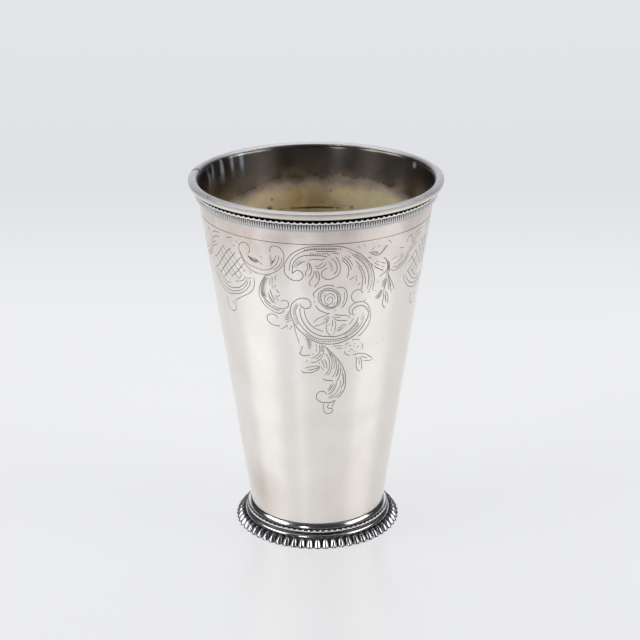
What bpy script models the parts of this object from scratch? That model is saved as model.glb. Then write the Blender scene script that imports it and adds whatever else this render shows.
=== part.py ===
"""A footed silver beaker: a tapered sheet wall with a let-in base, an applied lip, a twisted wire
and a fluted band under the lip, and a foot built up from rings that ends in a gadrooned border.

Units are metres and +Z is up. The origin is on the axis, on the table that the foot stands on.
Every piece is turned about the axis, and keeps SOLDER_GAP to the piece it is soldered to.
"""

import math

import bmesh
import bpy

MM = 0.001

# Overall sizes
CUP_HEIGHT = 135.0 * MM
MOUTH_RADIUS = 43.05 * MM
BODY_FOOT_RADIUS = 24.45 * MM

# Sheet wall and base
WALL_THICKNESS = 0.8 * MM
WALL_FLARE = 0.45 * MM
BASE_THICKNESS = 1.0 * MM
BASE_LIFT = 0.9 * MM

# Lip: a moulded wire with a rolled top, bent round the wall's edge
LIP_HEIGHT = 2.8 * MM
LIP_WIDTH = 1.85 * MM
LIP_OVERSTAND = 0.3 * MM
LIP_TOP_ROUND = 1.1 * MM
LIP_BOTTOM_ROUND = 0.35 * MM

# Ornament under the lip
TWIST_WIRE_RADIUS = 0.45 * MM
LIP_COVE_HEIGHT = 1.0 * MM
BAND_HEIGHT = 1.7 * MM
BAND_THICKNESS = 0.8 * MM

# Foot rings, from the top down
COLLAR_HEIGHT = 1.6 * MM
COLLAR_WIDTH = 1.0 * MM
FOOT_TWIST_PROUD = 0.1 * MM
MOULDING_HEIGHT = 1.5 * MM
MOULDING_WIDTH = 2.75 * MM
MOULDING_SHOULDER = 0.9 * MM

# Gadrooned border: each lobe is a quarter of an oval that stands up from the seat
GADROON_COUNT = 60
GADROON_DEPTH = 0.45 * MM
GADROON_WIDTH = 2.2 * MM
GADROON_CREST = 0.45 * MM
GADROON_AXIS_HEIGHT = 1.2 * MM
GADROON_TUCK = 0.15 * MM
BORDER_SEAT_HEIGHT = 2.7 * MM
BORDER_FLANGE_THICKNESS = 1.4 * MM
BORDER_LEDGE = 0.45 * MM
BORDER_STANDING_WIDTH = 3.6 * MM
BORDER_RECESS_SLOPE = 0.6 * MM

# Fits and facets
SOLDER_GAP = 0.3 * MM
TURN_STEPS = 72
WIRE_SIDES = 8
ARC_STEPS = 5
MERGE_DISTANCE = 0.01 * MM
SMOOTH_ANGLE = math.radians(40)

# Heights of the seats, stacked up from the table and down from the lip
WALL_BOTTOM = BORDER_SEAT_HEIGHT + SOLDER_GAP
WALL_TOP = CUP_HEIGHT - LIP_OVERSTAND
BASE_BOTTOM = WALL_BOTTOM + BASE_LIFT
BASE_TOP = BASE_BOTTOM + BASE_THICKNESS
MOULDING_BOTTOM = BORDER_SEAT_HEIGHT + SOLDER_GAP
MOULDING_TOP = MOULDING_BOTTOM + MOULDING_HEIGHT
FOOT_TWIST_HEIGHT = MOULDING_TOP + SOLDER_GAP + TWIST_WIRE_RADIUS
COLLAR_BOTTOM = FOOT_TWIST_HEIGHT + TWIST_WIRE_RADIUS + SOLDER_GAP
COLLAR_TOP = COLLAR_BOTTOM + COLLAR_HEIGHT
LIP_BOTTOM = CUP_HEIGHT - LIP_HEIGHT
LIP_TWIST_HEIGHT = LIP_BOTTOM - LIP_COVE_HEIGHT - TWIST_WIRE_RADIUS
BAND_TOP = LIP_TWIST_HEIGHT - TWIST_WIRE_RADIUS - SOLDER_GAP
BAND_BOTTOM = BAND_TOP - BAND_HEIGHT

# Finishes: colour and roughness
SHEET_SILVER = ((0.83, 0.80, 0.77), 0.28)
POLISHED_SILVER = ((0.86, 0.84, 0.82), 0.15)
OXIDISED_SILVER = ((0.45, 0.43, 0.41), 0.35)


def wall_radius(height):
    """Outside radius of the sheet wall: a straight cone, flared where the lip covers it."""
    cone_top = MOUTH_RADIUS + WALL_THICKNESS - WALL_FLARE
    slope = (cone_top - BODY_FOOT_RADIUS) / (WALL_TOP - WALL_BOTTOM)
    flare = max(0.0, (height - LIP_BOTTOM) / (WALL_TOP - LIP_BOTTOM)) * WALL_FLARE
    return BODY_FOOT_RADIUS + slope * (height - WALL_BOTTOM) + flare


def inside_radius(height):
    """Inside radius of the sheet wall."""
    return wall_radius(height) - WALL_THICKNESS


def seat_radius(height):
    """Inside radius of a ring that is soldered round the wall at this height."""
    return wall_radius(height) + SOLDER_GAP


def arc(centre, radii, start, end, steps=ARC_STEPS):
    """Points of an oval arc in the (radius, height) plane, angles in degrees up from outwards."""
    points = []
    for step in range(steps + 1):
        angle = math.radians(start + (end - start) * step / steps)
        points.append((centre[0] + radii[0] * math.cos(angle), centre[1] + radii[1] * math.sin(angle)))
    return points


def silver(name, finish):
    """A metal surface of the given colour and roughness."""
    colour, roughness = finish
    material = bpy.data.materials.new(name)
    material.use_nodes = True
    shader = material.node_tree.nodes["Principled BSDF"]
    shader.inputs["Base Color"].default_value = (*colour, 1.0)
    shader.inputs["Metallic"].default_value = 1.0
    shader.inputs["Roughness"].default_value = roughness
    return material


def outline_mesh(name, outline, seat):
    """A closed (radius, height) outline as edges in the XZ plane, measured up from the piece's seat."""
    count = len(outline)
    corners = [(radius, 0.0, height - seat) for radius, height in outline]
    edges = [(index, (index + 1) % count) for index in range(count)]
    mesh = bpy.data.meshes.new(name)
    mesh.from_pydata(corners, edges, [])
    return mesh


def turned_piece(name, outline, seat):
    """A ring or shell: its outline, which runs down the outer side, turned once round the axis."""
    piece = bpy.data.objects.new(name, outline_mesh(name, outline, seat))
    piece.location.z = seat
    turn = piece.modifiers.new("turn", "SCREW")
    turn.axis = "Z"
    turn.angle = 2.0 * math.pi
    turn.steps = turn.render_steps = TURN_STEPS
    turn.use_merge_vertices = True
    turn.merge_threshold = MERGE_DISTANCE
    turn.use_smooth_shade = True
    return piece


def wire_ring(name, ring_radius, height):
    """A ring of round wire."""
    bpy.ops.mesh.primitive_torus_add(
        major_radius=ring_radius,
        minor_radius=TWIST_WIRE_RADIUS,
        major_segments=TURN_STEPS,
        minor_segments=WIRE_SIDES,
    )
    piece = bpy.context.active_object
    piece.name = name
    piece.location.z = height
    piece.data.shade_smooth()
    for owner in piece.users_collection:
        owner.objects.unlink(piece)
    return piece


def beaker_wall():
    """The tapered sheet wall, open at both ends."""
    levels = (WALL_TOP, LIP_BOTTOM, WALL_BOTTOM)
    outer_side = [(wall_radius(level), level) for level in levels]
    inner_side = [(inside_radius(level), level) for level in reversed(levels)]
    return turned_piece("beaker_wall", outer_side + inner_side, WALL_BOTTOM)


def base_disc():
    """The flat base, let into the wall's lower end and tapered with it."""
    mesh = bpy.data.meshes.new("base_disc")
    solid = bmesh.new()
    bmesh.ops.create_cone(
        solid,
        cap_ends=True,
        segments=TURN_STEPS,
        radius1=inside_radius(BASE_BOTTOM) - SOLDER_GAP,
        radius2=inside_radius(BASE_TOP) - SOLDER_GAP,
        depth=BASE_THICKNESS,
    )
    solid.to_mesh(mesh)
    solid.free()
    mesh.shade_smooth()
    mesh.set_sharp_from_angle(angle=SMOOTH_ANGLE)
    piece = bpy.data.objects.new("base_disc", mesh)
    piece.location.z = (BASE_BOTTOM + BASE_TOP) / 2.0
    return piece


def lip_moulding():
    """The applied lip: rolled over at the top, with a flat band and an eased lower edge."""
    inside = seat_radius(WALL_TOP)
    outside = inside + LIP_WIDTH
    top_round = (outside - LIP_TOP_ROUND, CUP_HEIGHT - LIP_TOP_ROUND)
    low_round = (outside - LIP_BOTTOM_ROUND, LIP_BOTTOM + LIP_BOTTOM_ROUND)
    outline = [
        *arc(top_round, (LIP_TOP_ROUND, LIP_TOP_ROUND), 90, 0),
        *arc(low_round, (LIP_BOTTOM_ROUND, LIP_BOTTOM_ROUND), 0, -90, steps=2),
        (seat_radius(LIP_BOTTOM), LIP_BOTTOM),
        (inside, WALL_TOP),
        (inside, CUP_HEIGHT - LIP_OVERSTAND / 2.0),
    ]
    return turned_piece("lip_moulding", outline, LIP_BOTTOM)


def lip_twist_wire():
    """The wire in the cove under the lip, as the plain ring that its twist fits in."""
    ring_radius = seat_radius(LIP_TWIST_HEIGHT + TWIST_WIRE_RADIUS) + TWIST_WIRE_RADIUS
    return wire_ring("lip_twist_wire", ring_radius, LIP_TWIST_HEIGHT)


def fluted_band():
    """The milled strip under the twisted wire, as plain as the tops of its flutes."""
    outside = seat_radius(BAND_TOP) + BAND_THICKNESS
    outline = [
        (outside, BAND_TOP),
        (outside, BAND_BOTTOM),
        (seat_radius(BAND_BOTTOM), BAND_BOTTOM),
        (seat_radius(BAND_TOP), BAND_TOP),
    ]
    return turned_piece("fluted_band", outline, BAND_BOTTOM)


def foot_collar():
    """The half-round collar that hides the joint between wall and foot."""
    inside = seat_radius(COLLAR_TOP)
    middle = (COLLAR_BOTTOM + COLLAR_TOP) / 2.0
    outline = [
        *arc((inside, middle), (COLLAR_WIDTH, COLLAR_HEIGHT / 2.0), 90, -90, steps=6),
        (seat_radius(COLLAR_BOTTOM), COLLAR_BOTTOM),
    ]
    return turned_piece("foot_collar", outline, COLLAR_BOTTOM)


def foot_twist_wire():
    """The wire between collar and moulding, as the plain ring that its twist fits in."""
    ring_radius = seat_radius(COLLAR_TOP) + COLLAR_WIDTH + FOOT_TWIST_PROUD
    return wire_ring("foot_twist_wire", ring_radius, FOOT_TWIST_HEIGHT)


def moulding_radius():
    """Outside radius of the wide half-round ring."""
    return seat_radius(MOULDING_TOP) + MOULDING_WIDTH


def foot_moulding():
    """The wide half-round ring that carries the twisted wire and sits on the border."""
    middle = (MOULDING_BOTTOM + MOULDING_TOP) / 2.0
    shoulder = moulding_radius() - MOULDING_SHOULDER
    outline = [
        *arc((shoulder, middle), (MOULDING_SHOULDER, MOULDING_HEIGHT / 2.0), 90, -90),
        (seat_radius(MOULDING_BOTTOM), MOULDING_BOTTOM),
        (seat_radius(MOULDING_TOP), MOULDING_TOP),
    ]
    return turned_piece("foot_moulding", outline, MOULDING_BOTTOM)


def lobe_side(depth):
    """One lobe's outline, from its root on the seat to its toe on the table, cut in by depth."""
    rise = BORDER_SEAT_HEIGHT + GADROON_CREST - GADROON_AXIS_HEIGHT
    root = math.pi - math.asin((BORDER_SEAT_HEIGHT - GADROON_AXIS_HEIGHT) / rise)
    toe = -math.asin(GADROON_AXIS_HEIGHT / rise)
    axis_radius = moulding_radius() - GADROON_TUCK - GADROON_WIDTH * math.cos(root)
    centre = (axis_radius, GADROON_AXIS_HEIGHT)
    radii = (GADROON_WIDTH - depth, rise - depth)
    points = arc(centre, radii, math.degrees(root), math.degrees(toe))
    return [*points[:-1], (points[-1][0], 0.0)]


def gadroon_border():
    """The border the beaker stands on: a flanged ring whose outside is worked into lobes."""
    ridge = lobe_side(0.0)
    valley = lobe_side(GADROON_DEPTH)
    foot_radius = max(radius for radius, height in ridge)
    bore = inside_radius(WALL_BOTTOM) - BORDER_LEDGE
    flange_bottom = BORDER_SEAT_HEIGHT - BORDER_FLANGE_THICKNESS
    standing = foot_radius - BORDER_STANDING_WIDTH
    underside = [
        (standing, 0.0),
        (standing - BORDER_RECESS_SLOPE, flange_bottom),
        (bore, flange_bottom),
        (bore, BORDER_SEAT_HEIGHT),
    ]
    mesh = outline_mesh("gadroon_border", ridge + underside, 0.0)
    solid = bmesh.new()
    solid.from_mesh(mesh)
    place = solid.verts.layers.int.new("place_in_outline")
    for index, corner in enumerate(solid.verts):
        corner[place] = index
    bmesh.ops.spin(
        solid,
        geom=solid.verts[:] + solid.edges[:],
        axis=(0.0, 0.0, 1.0),
        cent=(0.0, 0.0, 0.0),
        angle=2.0 * math.pi,
        steps=2 * GADROON_COUNT,
        use_merge=True,
    )
    for corner in solid.verts:
        turned = math.atan2(corner.co.y, corner.co.x)
        if corner[place] < len(valley) and math.cos(GADROON_COUNT * turned) < 0.0:
            radius, height = valley[corner[place]]
            corner.co = (radius * math.cos(turned), radius * math.sin(turned), height)
    bmesh.ops.recalc_face_normals(solid, faces=solid.faces[:])
    solid.to_mesh(mesh)
    solid.free()
    mesh.shade_smooth()
    mesh.set_sharp_from_angle(angle=SMOOTH_ANGLE)
    return bpy.data.objects.new("gadroon_border", mesh)


def main():
    for old in list(bpy.data.objects):
        bpy.data.objects.remove(old)
    collection = bpy.data.collections.new("silver_beaker")
    bpy.context.scene.collection.children.link(collection)
    axis = bpy.data.objects.new("beaker_axis", None)
    collection.objects.link(axis)

    sheet = silver("sheet_silver", SHEET_SILVER)
    polished = silver("polished_silver", POLISHED_SILVER)
    oxidised = silver("oxidised_silver", OXIDISED_SILVER)
    finished_pieces = [
        (beaker_wall(), sheet),
        (base_disc(), sheet),
        (lip_moulding(), polished),
        (lip_twist_wire(), oxidised),
        (fluted_band(), oxidised),
        (foot_collar(), polished),
        (foot_twist_wire(), oxidised),
        (foot_moulding(), polished),
        (gadroon_border(), polished),
    ]
    for piece, finish in finished_pieces:
        piece.data.materials.append(finish)
        piece.parent = axis
        collection.objects.link(piece)


main()
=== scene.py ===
import math
import random

import bpy
from mathutils import Matrix, Vector, geometry, kdtree


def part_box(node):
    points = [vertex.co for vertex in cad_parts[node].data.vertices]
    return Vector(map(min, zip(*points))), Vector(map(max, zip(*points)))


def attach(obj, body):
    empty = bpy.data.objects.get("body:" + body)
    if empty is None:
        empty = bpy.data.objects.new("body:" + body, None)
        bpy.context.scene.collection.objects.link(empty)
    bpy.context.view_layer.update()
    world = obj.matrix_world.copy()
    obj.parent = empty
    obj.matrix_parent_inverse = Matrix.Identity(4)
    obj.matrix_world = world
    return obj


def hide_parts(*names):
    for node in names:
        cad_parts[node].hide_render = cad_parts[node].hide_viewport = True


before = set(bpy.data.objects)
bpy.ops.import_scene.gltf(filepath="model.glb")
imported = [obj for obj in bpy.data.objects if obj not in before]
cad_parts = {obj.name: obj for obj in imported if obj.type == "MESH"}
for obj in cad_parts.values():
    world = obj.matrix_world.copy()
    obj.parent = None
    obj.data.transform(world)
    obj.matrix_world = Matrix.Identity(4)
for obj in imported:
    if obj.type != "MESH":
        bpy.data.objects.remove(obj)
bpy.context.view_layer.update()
mm = 0.001  # outlines below are written in millimetres
weldReach = 0.002  # millimetres within which points are merged
spotCore = 0.23  # share of a spot's reach that has its full strength
print("frame loaded")


# small tools for working as by hand

def clearSelection():
    if bpy.context.mode != "OBJECT":
        bpy.ops.object.mode_set(mode="OBJECT")
    bpy.ops.object.select_all(action="DESELECT")


def pickOnly(piece):
    clearSelection()
    piece.select_set(True)
    bpy.context.view_layer.objects.active = piece


def editAll(piece):  # edit mode, with the whole mesh selected
    pickOnly(piece)
    bpy.ops.object.mode_set(mode="EDIT")
    bpy.ops.mesh.select_all(action="SELECT")


def span(node):  # outer radius, bottom and top of a CAD node, in millimetres
    low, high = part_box(node)
    return high[0] / mm, low[2] / mm, high[2] / mm


def radiusOf(co):  # millimetres from the axis
    return math.hypot(co.x, co.y) / mm


def turnOf(co):  # degrees round the axis, from the X axis
    return math.degrees(math.atan2(co.y, co.x))


def arc(centre, radii, start, end, count):
    points = []
    for i in range(count):
        angle = math.radians(start + (end - start) * i / (count - 1))
        points.append((centre[0] + radii[0] * math.cos(angle), centre[1] + radii[1] * math.sin(angle)))
    return points


def drawSection(name, outline):  # a closed loop standing in the XZ plane
    clearSelection()
    bpy.ops.mesh.primitive_circle_add(vertices=len(outline), radius=mm)
    piece = bpy.context.object
    piece.name = name
    piece.data.name = name
    for vertex, (radius, height) in zip(piece.data.vertices, outline):
        vertex.co = (radius * mm, 0, height * mm)
    return piece


def closeUp(piece):  # merge doubles and turn the faces outwards
    editAll(piece)
    bpy.ops.mesh.remove_doubles(threshold=weldReach * mm)
    bpy.ops.mesh.normals_make_consistent(inside=False)
    bpy.ops.object.mode_set(mode="OBJECT")


def spinSection(piece, steps, degrees=360.0):
    editAll(piece)
    bpy.ops.mesh.spin(steps=steps, angle=math.radians(degrees), center=(0, 0, 0), axis=(0, 0, 1))
    bpy.ops.object.mode_set(mode="OBJECT")


def spinWhole(piece, steps):
    spinSection(piece, steps)
    closeUp(piece)


def repeatRound(piece, count):  # copies one sector round the Z axis and welds the copies
    editAll(piece)
    bpy.ops.mesh.spin(steps=count - 1, dupli=True, angle=math.tau * (count - 1) / count,
                      center=(0, 0, 0), axis=(0, 0, 1))
    bpy.ops.object.mode_set(mode="OBJECT")
    closeUp(piece)


def smooth(piece, degrees):
    pickOnly(piece)
    bpy.ops.object.shade_smooth_by_angle(angle=math.radians(degrees))


def paint(piece, name, rule):  # a number on every point, for the finish to read
    layer = piece.data.attributes.new(name, "FLOAT", "POINT")
    layer.data.foreach_set("value", [rule(vertex.co) for vertex in piece.data.vertices])


def settle(piece, node, finish):
    piece.data.materials.append(finish)
    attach(piece, "root")
    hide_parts(node)
    print(f"{piece.name}: {len(piece.data.polygons)} faces")


# small tools for finishes

def newFinish(name):
    finish = bpy.data.materials.new(name)
    finish.use_nodes = True
    tree = finish.node_tree
    return finish, tree, tree.nodes["Principled BSDF"]


def addNode(tree, kind, inputs=None, **settings):
    made = tree.nodes.new(kind)
    for key, value in settings.items():
        setattr(made, key, value)
    for key, value in (inputs or {}).items():
        if isinstance(value, bpy.types.NodeSocket):
            tree.links.new(value, made.inputs[key])
        else:
            made.inputs[key].default_value = value
    return made


def objectPlace(tree, scale=(1, 1, 1)):
    place = addNode(tree, "ShaderNodeTexCoord")
    mapping = addNode(tree, "ShaderNodeMapping", {"Vector": place.outputs["Object"], "Scale": scale})
    return mapping.outputs["Vector"]


def grain(tree, place, scale, detail, roughness=0.55):
    inputs = {"Vector": place, "Scale": scale, "Detail": detail, "Roughness": roughness}
    return addNode(tree, "ShaderNodeTexNoise", inputs).outputs["Fac"]


def remap(tree, value, low, high, newLow=0.0, newHigh=1.0):
    inputs = {"Value": value, "From Min": low, "From Max": high, "To Min": newLow, "To Max": newHigh}
    return addNode(tree, "ShaderNodeMapRange", inputs).outputs["Result"]


def patches(tree, place, look):  # scale, detail and roughness of a grain, then the levels it runs between
    scale, detail, roughness, *levels = look
    return remap(tree, grain(tree, place, scale, detail, roughness), *levels)


def nearTo(tree, place, centre, reach):  # 1 at a spot, 0 from its reach outwards
    off = addNode(tree, "ShaderNodeVectorMath", {0: place, 1: centre}, operation="DISTANCE")
    return remap(tree, off.outputs["Value"], reach, reach * spotCore)


def reckon(tree, operation, first, second=0.0):
    return addNode(tree, "ShaderNodeMath", {0: first, 1: second}, operation=operation).outputs["Value"]


def plus(tree, first, second):
    return reckon(tree, "ADD", first, second)


def minus(tree, first, second):
    return reckon(tree, "SUBTRACT", first, second)


def times(tree, first, second):
    return reckon(tree, "MULTIPLY", first, second)


def larger(tree, first, second):
    return reckon(tree, "MAXIMUM", first, second)


def opaque(colour):  # a written colour gets its fourth number, a socket stays as it is
    return (*colour, 1) if isinstance(colour, tuple) else colour


def blend(tree, factor, first, second):  # colours
    inputs = {0: factor, 6: opaque(first), 7: opaque(second)}
    return addNode(tree, "ShaderNodeMix", inputs, data_type="RGBA").outputs[2]


def mixValue(tree, factor, first, second):
    return addNode(tree, "ShaderNodeMix", {0: factor, 2: first, 3: second}).outputs[0]


def painted(tree, name):  # reads 0 on a piece that has no such paint
    return addNode(tree, "ShaderNodeAttribute", attribute_name=name).outputs["Fac"]


def bump(tree, height, strength, distance):
    inputs = {"Height": height, "Strength": strength, "Distance": distance}
    return addNode(tree, "ShaderNodeBump", inputs).outputs["Normal"]


# the sheet silver outside: satin, tarnish and painted shade under the lip, painted shadow behind band and
# wire, darkened cuts; places in metres

satin = {
    "pale": (0.968, 0.937, 0.893),
    "warm": (0.905, 0.857, 0.795),
    "clouds": (26, 5, 0.6, 0.38, 0.64),
    "cloudStretch": (1, 1, 0.45),
    "mottle": (80, 4, 0.5, 0.36, 0.66),
    "tarnishAndShade": (0.60, 0.49, 0.44),
    "tarnishShadeRise": (0.102, 0.130),  # heights between which tarnish and painted shade from the lip gather
    "tarnishShadeLevels": (0.0, 1.0, 0.45, 1.0),  # how far the mottle thins it
    "tarnishShadeFull": 0.92,
    "tarnishFaint": 0.10,  # all over
    "lowSidePatch": (0.68, 0.60, 0.53),  # a darker brown patch low on one side, near the foot
    "lowSidePatchPlace": (-0.0205, -0.0165, 0.0185),
    "lowSidePatchReach": 0.013,
    "lowSidePatchLevels": (0.0, 1.0, 0.6, 1.0),
    "underBand": (0.34, 0.38, 0.44),  # bluish shade close under the fluted band
    "underBandRise": (0.1268, 0.1280),
    "underLipShadow": (0.006, 0.006, 0.006),  # painted shadow, with dark oxide, behind the wire and the fluted band under the lip
    "underLipShadowRise": (0.1281, 0.1283),
    "cutDark": (0.265, 0.248, 0.234),
    "cutEdge": (0.04, 0.45),  # painted depths between which a cut darkens
    "cutRough": 0.4,
    "cutDull": 0.9,
    "polish": (60, 5, 0.55, 0.3, 0.7, 0.22, 0.28),  # ends in the roughness, from and to
    "polishLines": 0.6,  # fine polishing lines run round the beaker
    "polishLineTurn": 0.25,
    "waves": (34, 1),  # the sheet is a little uneven
    "waveStrength": 0.06,
    "waveDepth": 0.0004,
}


def outsideSilver(tree, place, height, cut):  # colour and roughness
    clouds = patches(tree, objectPlace(tree, satin["cloudStretch"]), satin["clouds"])
    mottle = patches(tree, place, satin["mottle"])
    tone = blend(tree, clouds, satin["pale"], satin["warm"])
    # tarnish with painted shade, deepening towards the lip, and a faint tarnish all over
    nearLip = remap(tree, height, *satin["tarnishShadeRise"])
    breath = times(tree, nearLip, remap(tree, mottle, *satin["tarnishShadeLevels"]))
    faint = times(tree, mottle, satin["tarnishFaint"])
    tone = blend(tree, plus(tree, times(tree, breath, satin["tarnishShadeFull"]), faint), tone, satin["tarnishAndShade"])
    lowSideShare = times(tree, nearTo(tree, place, satin["lowSidePatchPlace"], satin["lowSidePatchReach"]),
                  remap(tree, clouds, *satin["lowSidePatchLevels"]))
    tone = blend(tree, lowSideShare, tone, satin["lowSidePatch"])
    tone = blend(tree, remap(tree, height, *satin["underBandRise"]), tone, satin["underBand"])
    tone = blend(tree, cut, tone, satin["cutDark"])
    # painted shadow: near black behind the band and the wire, under the lip
    tone = blend(tree, remap(tree, height, *satin["underLipShadowRise"]), tone, satin["underLipShadow"])
    rough = patches(tree, place, satin["polish"])
    return tone, plus(tree, rough, times(tree, cut, satin["cutRough"]))


# the inside: a dried stain up to a ragged tide line, dark silver above it with painted bluish reflections;
# places in metres

stain = {
    "tideHeight": 0.1210,
    "tideEdge": (-0.0010, 0.0018),
    "ragged": (95, 8, 0.68),
    "raggedReach": 0.009,
    "leftDip": (-0.012, -0.030, 0.0, 0.0034),  # the stain stands lower at the sides
    "rightDip": (0.020, 0.036, 0.0, 0.0022),
    "roughness": (0.62, 0.25),  # of the stain, and of the silver above it
    "pale": (0.98, 0.85, 0.60),
    "gold": (0.76, 0.53, 0.24),
    "goldPatches": (62, 6, 0.62, 0.44, 0.60),
    "goldMiddle": (0.006, 0.022, 1.0, 0.4),  # less of it away from the middle
    "green": (0.74, 0.69, 0.45),
    "greenPatches": (40, 4, 0.55, 0.40, 0.62),
    "greenSide": (-0.012, 0.022),
    "brown": (0.56, 0.43, 0.25),
    "honey": (0.99, 0.82, 0.50),
    "spots": [("pale", (-0.0185, 0.0362, 0.1165), 0.012), ("brown", (0.0005, 0.0398, 0.1120), 0.011),
              ("honey", (0.0092, 0.0392, 0.1180), 0.006)],  # colour, place and reach
    "spotPatches": (190, 5, 0.6, 0.36, 0.56, 0.35, 1.0),
    "dark": (0.10, 0.08, 0.06),  # scores, marks and specks
    "scores": (90, 3, 0.6, 0.655, 0.70),
    "scoreStretch": (1, 1, 9),
    "scoreTop": (0.119, 0.112),
    "scoreDeep": (0.070, 0.105, 0.12, 1.0),  # fewer deep down
    "rim": (0.47, 0.39, 0.34),
    "rimEdge": (-0.0040, -0.0004),
    "markHeight": 0.1104,  # a broken dark line
    "markEdge": (0.00050, 0.00022),
    "markPatches": (170, 2, 0.55, 0.46, 0.51),
    "markPlace": (0.0005, 0.0398, 0.1120),
    "markReach": 0.017,
    "blotchPlace": (-0.0178, 0.0349, 0.1110),
    "blotchReach": 0.0017,
    "specks": (330, 5, 0.6, 0.61, 0.72),
    "dull": 0.85,  # how far the metal goes dull under it
}

dryBand = {
    "bright": (0.27, 0.255, 0.245),
    "brown": (0.15, 0.13, 0.112),
    "smoke": (70, 6, 0.55, 0.38, 0.66),
    "haze": (0.47, 0.39, 0.32),  # breath of the stain above its edge
    "hazePatches": (115, 7, 0.65, 0.42, 0.64),
    "hazeFade": (0.0060, 0.0002),
    "paintedReflection": (0.56, 0.70, 0.80),  # painted reflections: bluish upright streaks of window light
    "streaks": (150, 3, 0.6, 0.555, 0.63),
    "streakStretch": (1, 1, 0.07),  # they run upright
    "streakSide": (-0.018, -0.030),
    "streakRise": (0.1245, 0.1300),
    "streakPlaces": [(-0.0281, 0.0316, 0.0091), (-0.0317, 0.0281, 0.0091)],  # two broad ones
    "streakReach": 0.0015,
    "glintPlace": (0.0365, 0.0213, 0.1322),  # a painted glint: a bluish fleck of reflected light under the lip
    "glintReach": 0.0018,
    "dull": 0.7,
}


def overTide(tree, place, height, across):  # height over the ragged tide line
    ragged = times(tree, minus(tree, grain(tree, place, *stain["ragged"]), 0.5), stain["raggedReach"])
    line = plus(tree, minus(tree, height, stain["tideHeight"]), ragged)
    dips = plus(tree, remap(tree, across, *stain["leftDip"]), remap(tree, across, *stain["rightDip"]))
    return plus(tree, line, dips)


def stainColour(tree, place, height, across, line):
    middle = remap(tree, reckon(tree, "ABSOLUTE", across), *stain["goldMiddle"])
    gold = times(tree, patches(tree, place, stain["goldPatches"]), middle)
    tone = blend(tree, gold, stain["pale"], stain["gold"])
    side = remap(tree, across, *stain["greenSide"])
    green = times(tree, patches(tree, place, stain["greenPatches"]), side)
    tone = blend(tree, green, tone, stain["green"])
    patchy = patches(tree, place, stain["spotPatches"])
    for colour, spot, reach in stain["spots"]:
        tone = blend(tree, times(tree, nearTo(tree, place, spot, reach), patchy), tone, stain[colour])
    scores = patches(tree, objectPlace(tree, stain["scoreStretch"]), stain["scores"])
    for fade in ("scoreTop", "scoreDeep"):
        scores = times(tree, scores, remap(tree, height, *stain[fade]))
    tone = blend(tree, scores, tone, stain["dark"])
    tone = blend(tree, remap(tree, line, *stain["rimEdge"]), tone, stain["rim"])
    offMark = reckon(tree, "ABSOLUTE", minus(tree, height, stain["markHeight"]))
    marks = times(tree, remap(tree, offMark, *stain["markEdge"]), patches(tree, place, stain["markPatches"]))
    marks = times(tree, marks, nearTo(tree, place, stain["markPlace"], stain["markReach"]))
    marks = larger(tree, marks, nearTo(tree, place, stain["blotchPlace"], stain["blotchReach"]))
    tone = blend(tree, marks, tone, stain["dark"])
    return blend(tree, patches(tree, place, stain["specks"]), tone, stain["dark"])


def dryColour(tree, place, height, across, line):  # and the share that haze and the painted reflections cover
    tone = blend(tree, patches(tree, place, dryBand["smoke"]), dryBand["bright"], dryBand["brown"])
    haze = times(tree, patches(tree, place, dryBand["hazePatches"]), remap(tree, line, *dryBand["hazeFade"]))
    tone = blend(tree, haze, tone, dryBand["haze"])
    upright = objectPlace(tree, dryBand["streakStretch"])
    side = remap(tree, across, *dryBand["streakSide"])
    # painted reflections: bluish upright streaks on the left, two broad ones, and a glint under the lip
    paintedReflection = times(tree, patches(tree, upright, dryBand["streaks"]), side)
    for spot in dryBand["streakPlaces"]:
        paintedReflection = larger(tree, paintedReflection, nearTo(tree, upright, spot, dryBand["streakReach"]))
    paintedReflection = times(tree, paintedReflection, remap(tree, height, *dryBand["streakRise"]))
    paintedReflection = larger(tree, paintedReflection, nearTo(tree, place, dryBand["glintPlace"], dryBand["glintReach"]))
    return blend(tree, paintedReflection, tone, dryBand["paintedReflection"]), larger(tree, paintedReflection, haze)


def sheetSilver():
    finish, tree, shader = newFinish("sheetSilver")
    place = objectPlace(tree)
    apart = addNode(tree, "ShaderNodeSeparateXYZ", {"Vector": place}).outputs
    across, height = apart["X"], apart["Z"]
    cut = remap(tree, painted(tree, "cut"), *satin["cutEdge"])
    within = painted(tree, "inside")
    outside, outsideRough = outsideSilver(tree, place, height, cut)

    line = overTide(tree, place, height, across)
    aboveTide = remap(tree, line, *stain["tideEdge"])
    upper, covered = dryColour(tree, place, height, across, line)
    inside = blend(tree, aboveTide, stainColour(tree, place, height, across, line), upper)
    insideRough = mixValue(tree, aboveTide, *stain["roughness"])
    tree.links.new(blend(tree, within, outside, inside), shader.inputs["Base Color"])
    tree.links.new(mixValue(tree, within, outsideRough, insideRough), shader.inputs["Roughness"])

    dull = larger(tree, minus(tree, 1.0, aboveTide), times(tree, covered, dryBand["dull"]))
    dull = larger(tree, times(tree, within, dull), times(tree, cut, satin["cutDull"]))
    metal = minus(tree, 1.0, times(tree, dull, stain["dull"]))
    tree.links.new(metal, shader.inputs["Metallic"])
    lines = addNode(tree, "ShaderNodeTangent", direction_type="RADIAL", axis="Z")
    tree.links.new(lines.outputs["Tangent"], shader.inputs["Tangent"])
    shader.inputs["Anisotropic"].default_value = satin["polishLines"]
    shader.inputs["Anisotropic Rotation"].default_value = satin["polishLineTurn"]
    waves = bump(tree, grain(tree, place, *satin["waves"]), satin["waveStrength"], satin["waveDepth"])
    tree.links.new(waves, shader.inputs["Normal"])
    return finish


# polished fittings, dark in their recesses: partly oxide, partly painted shade

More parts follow.
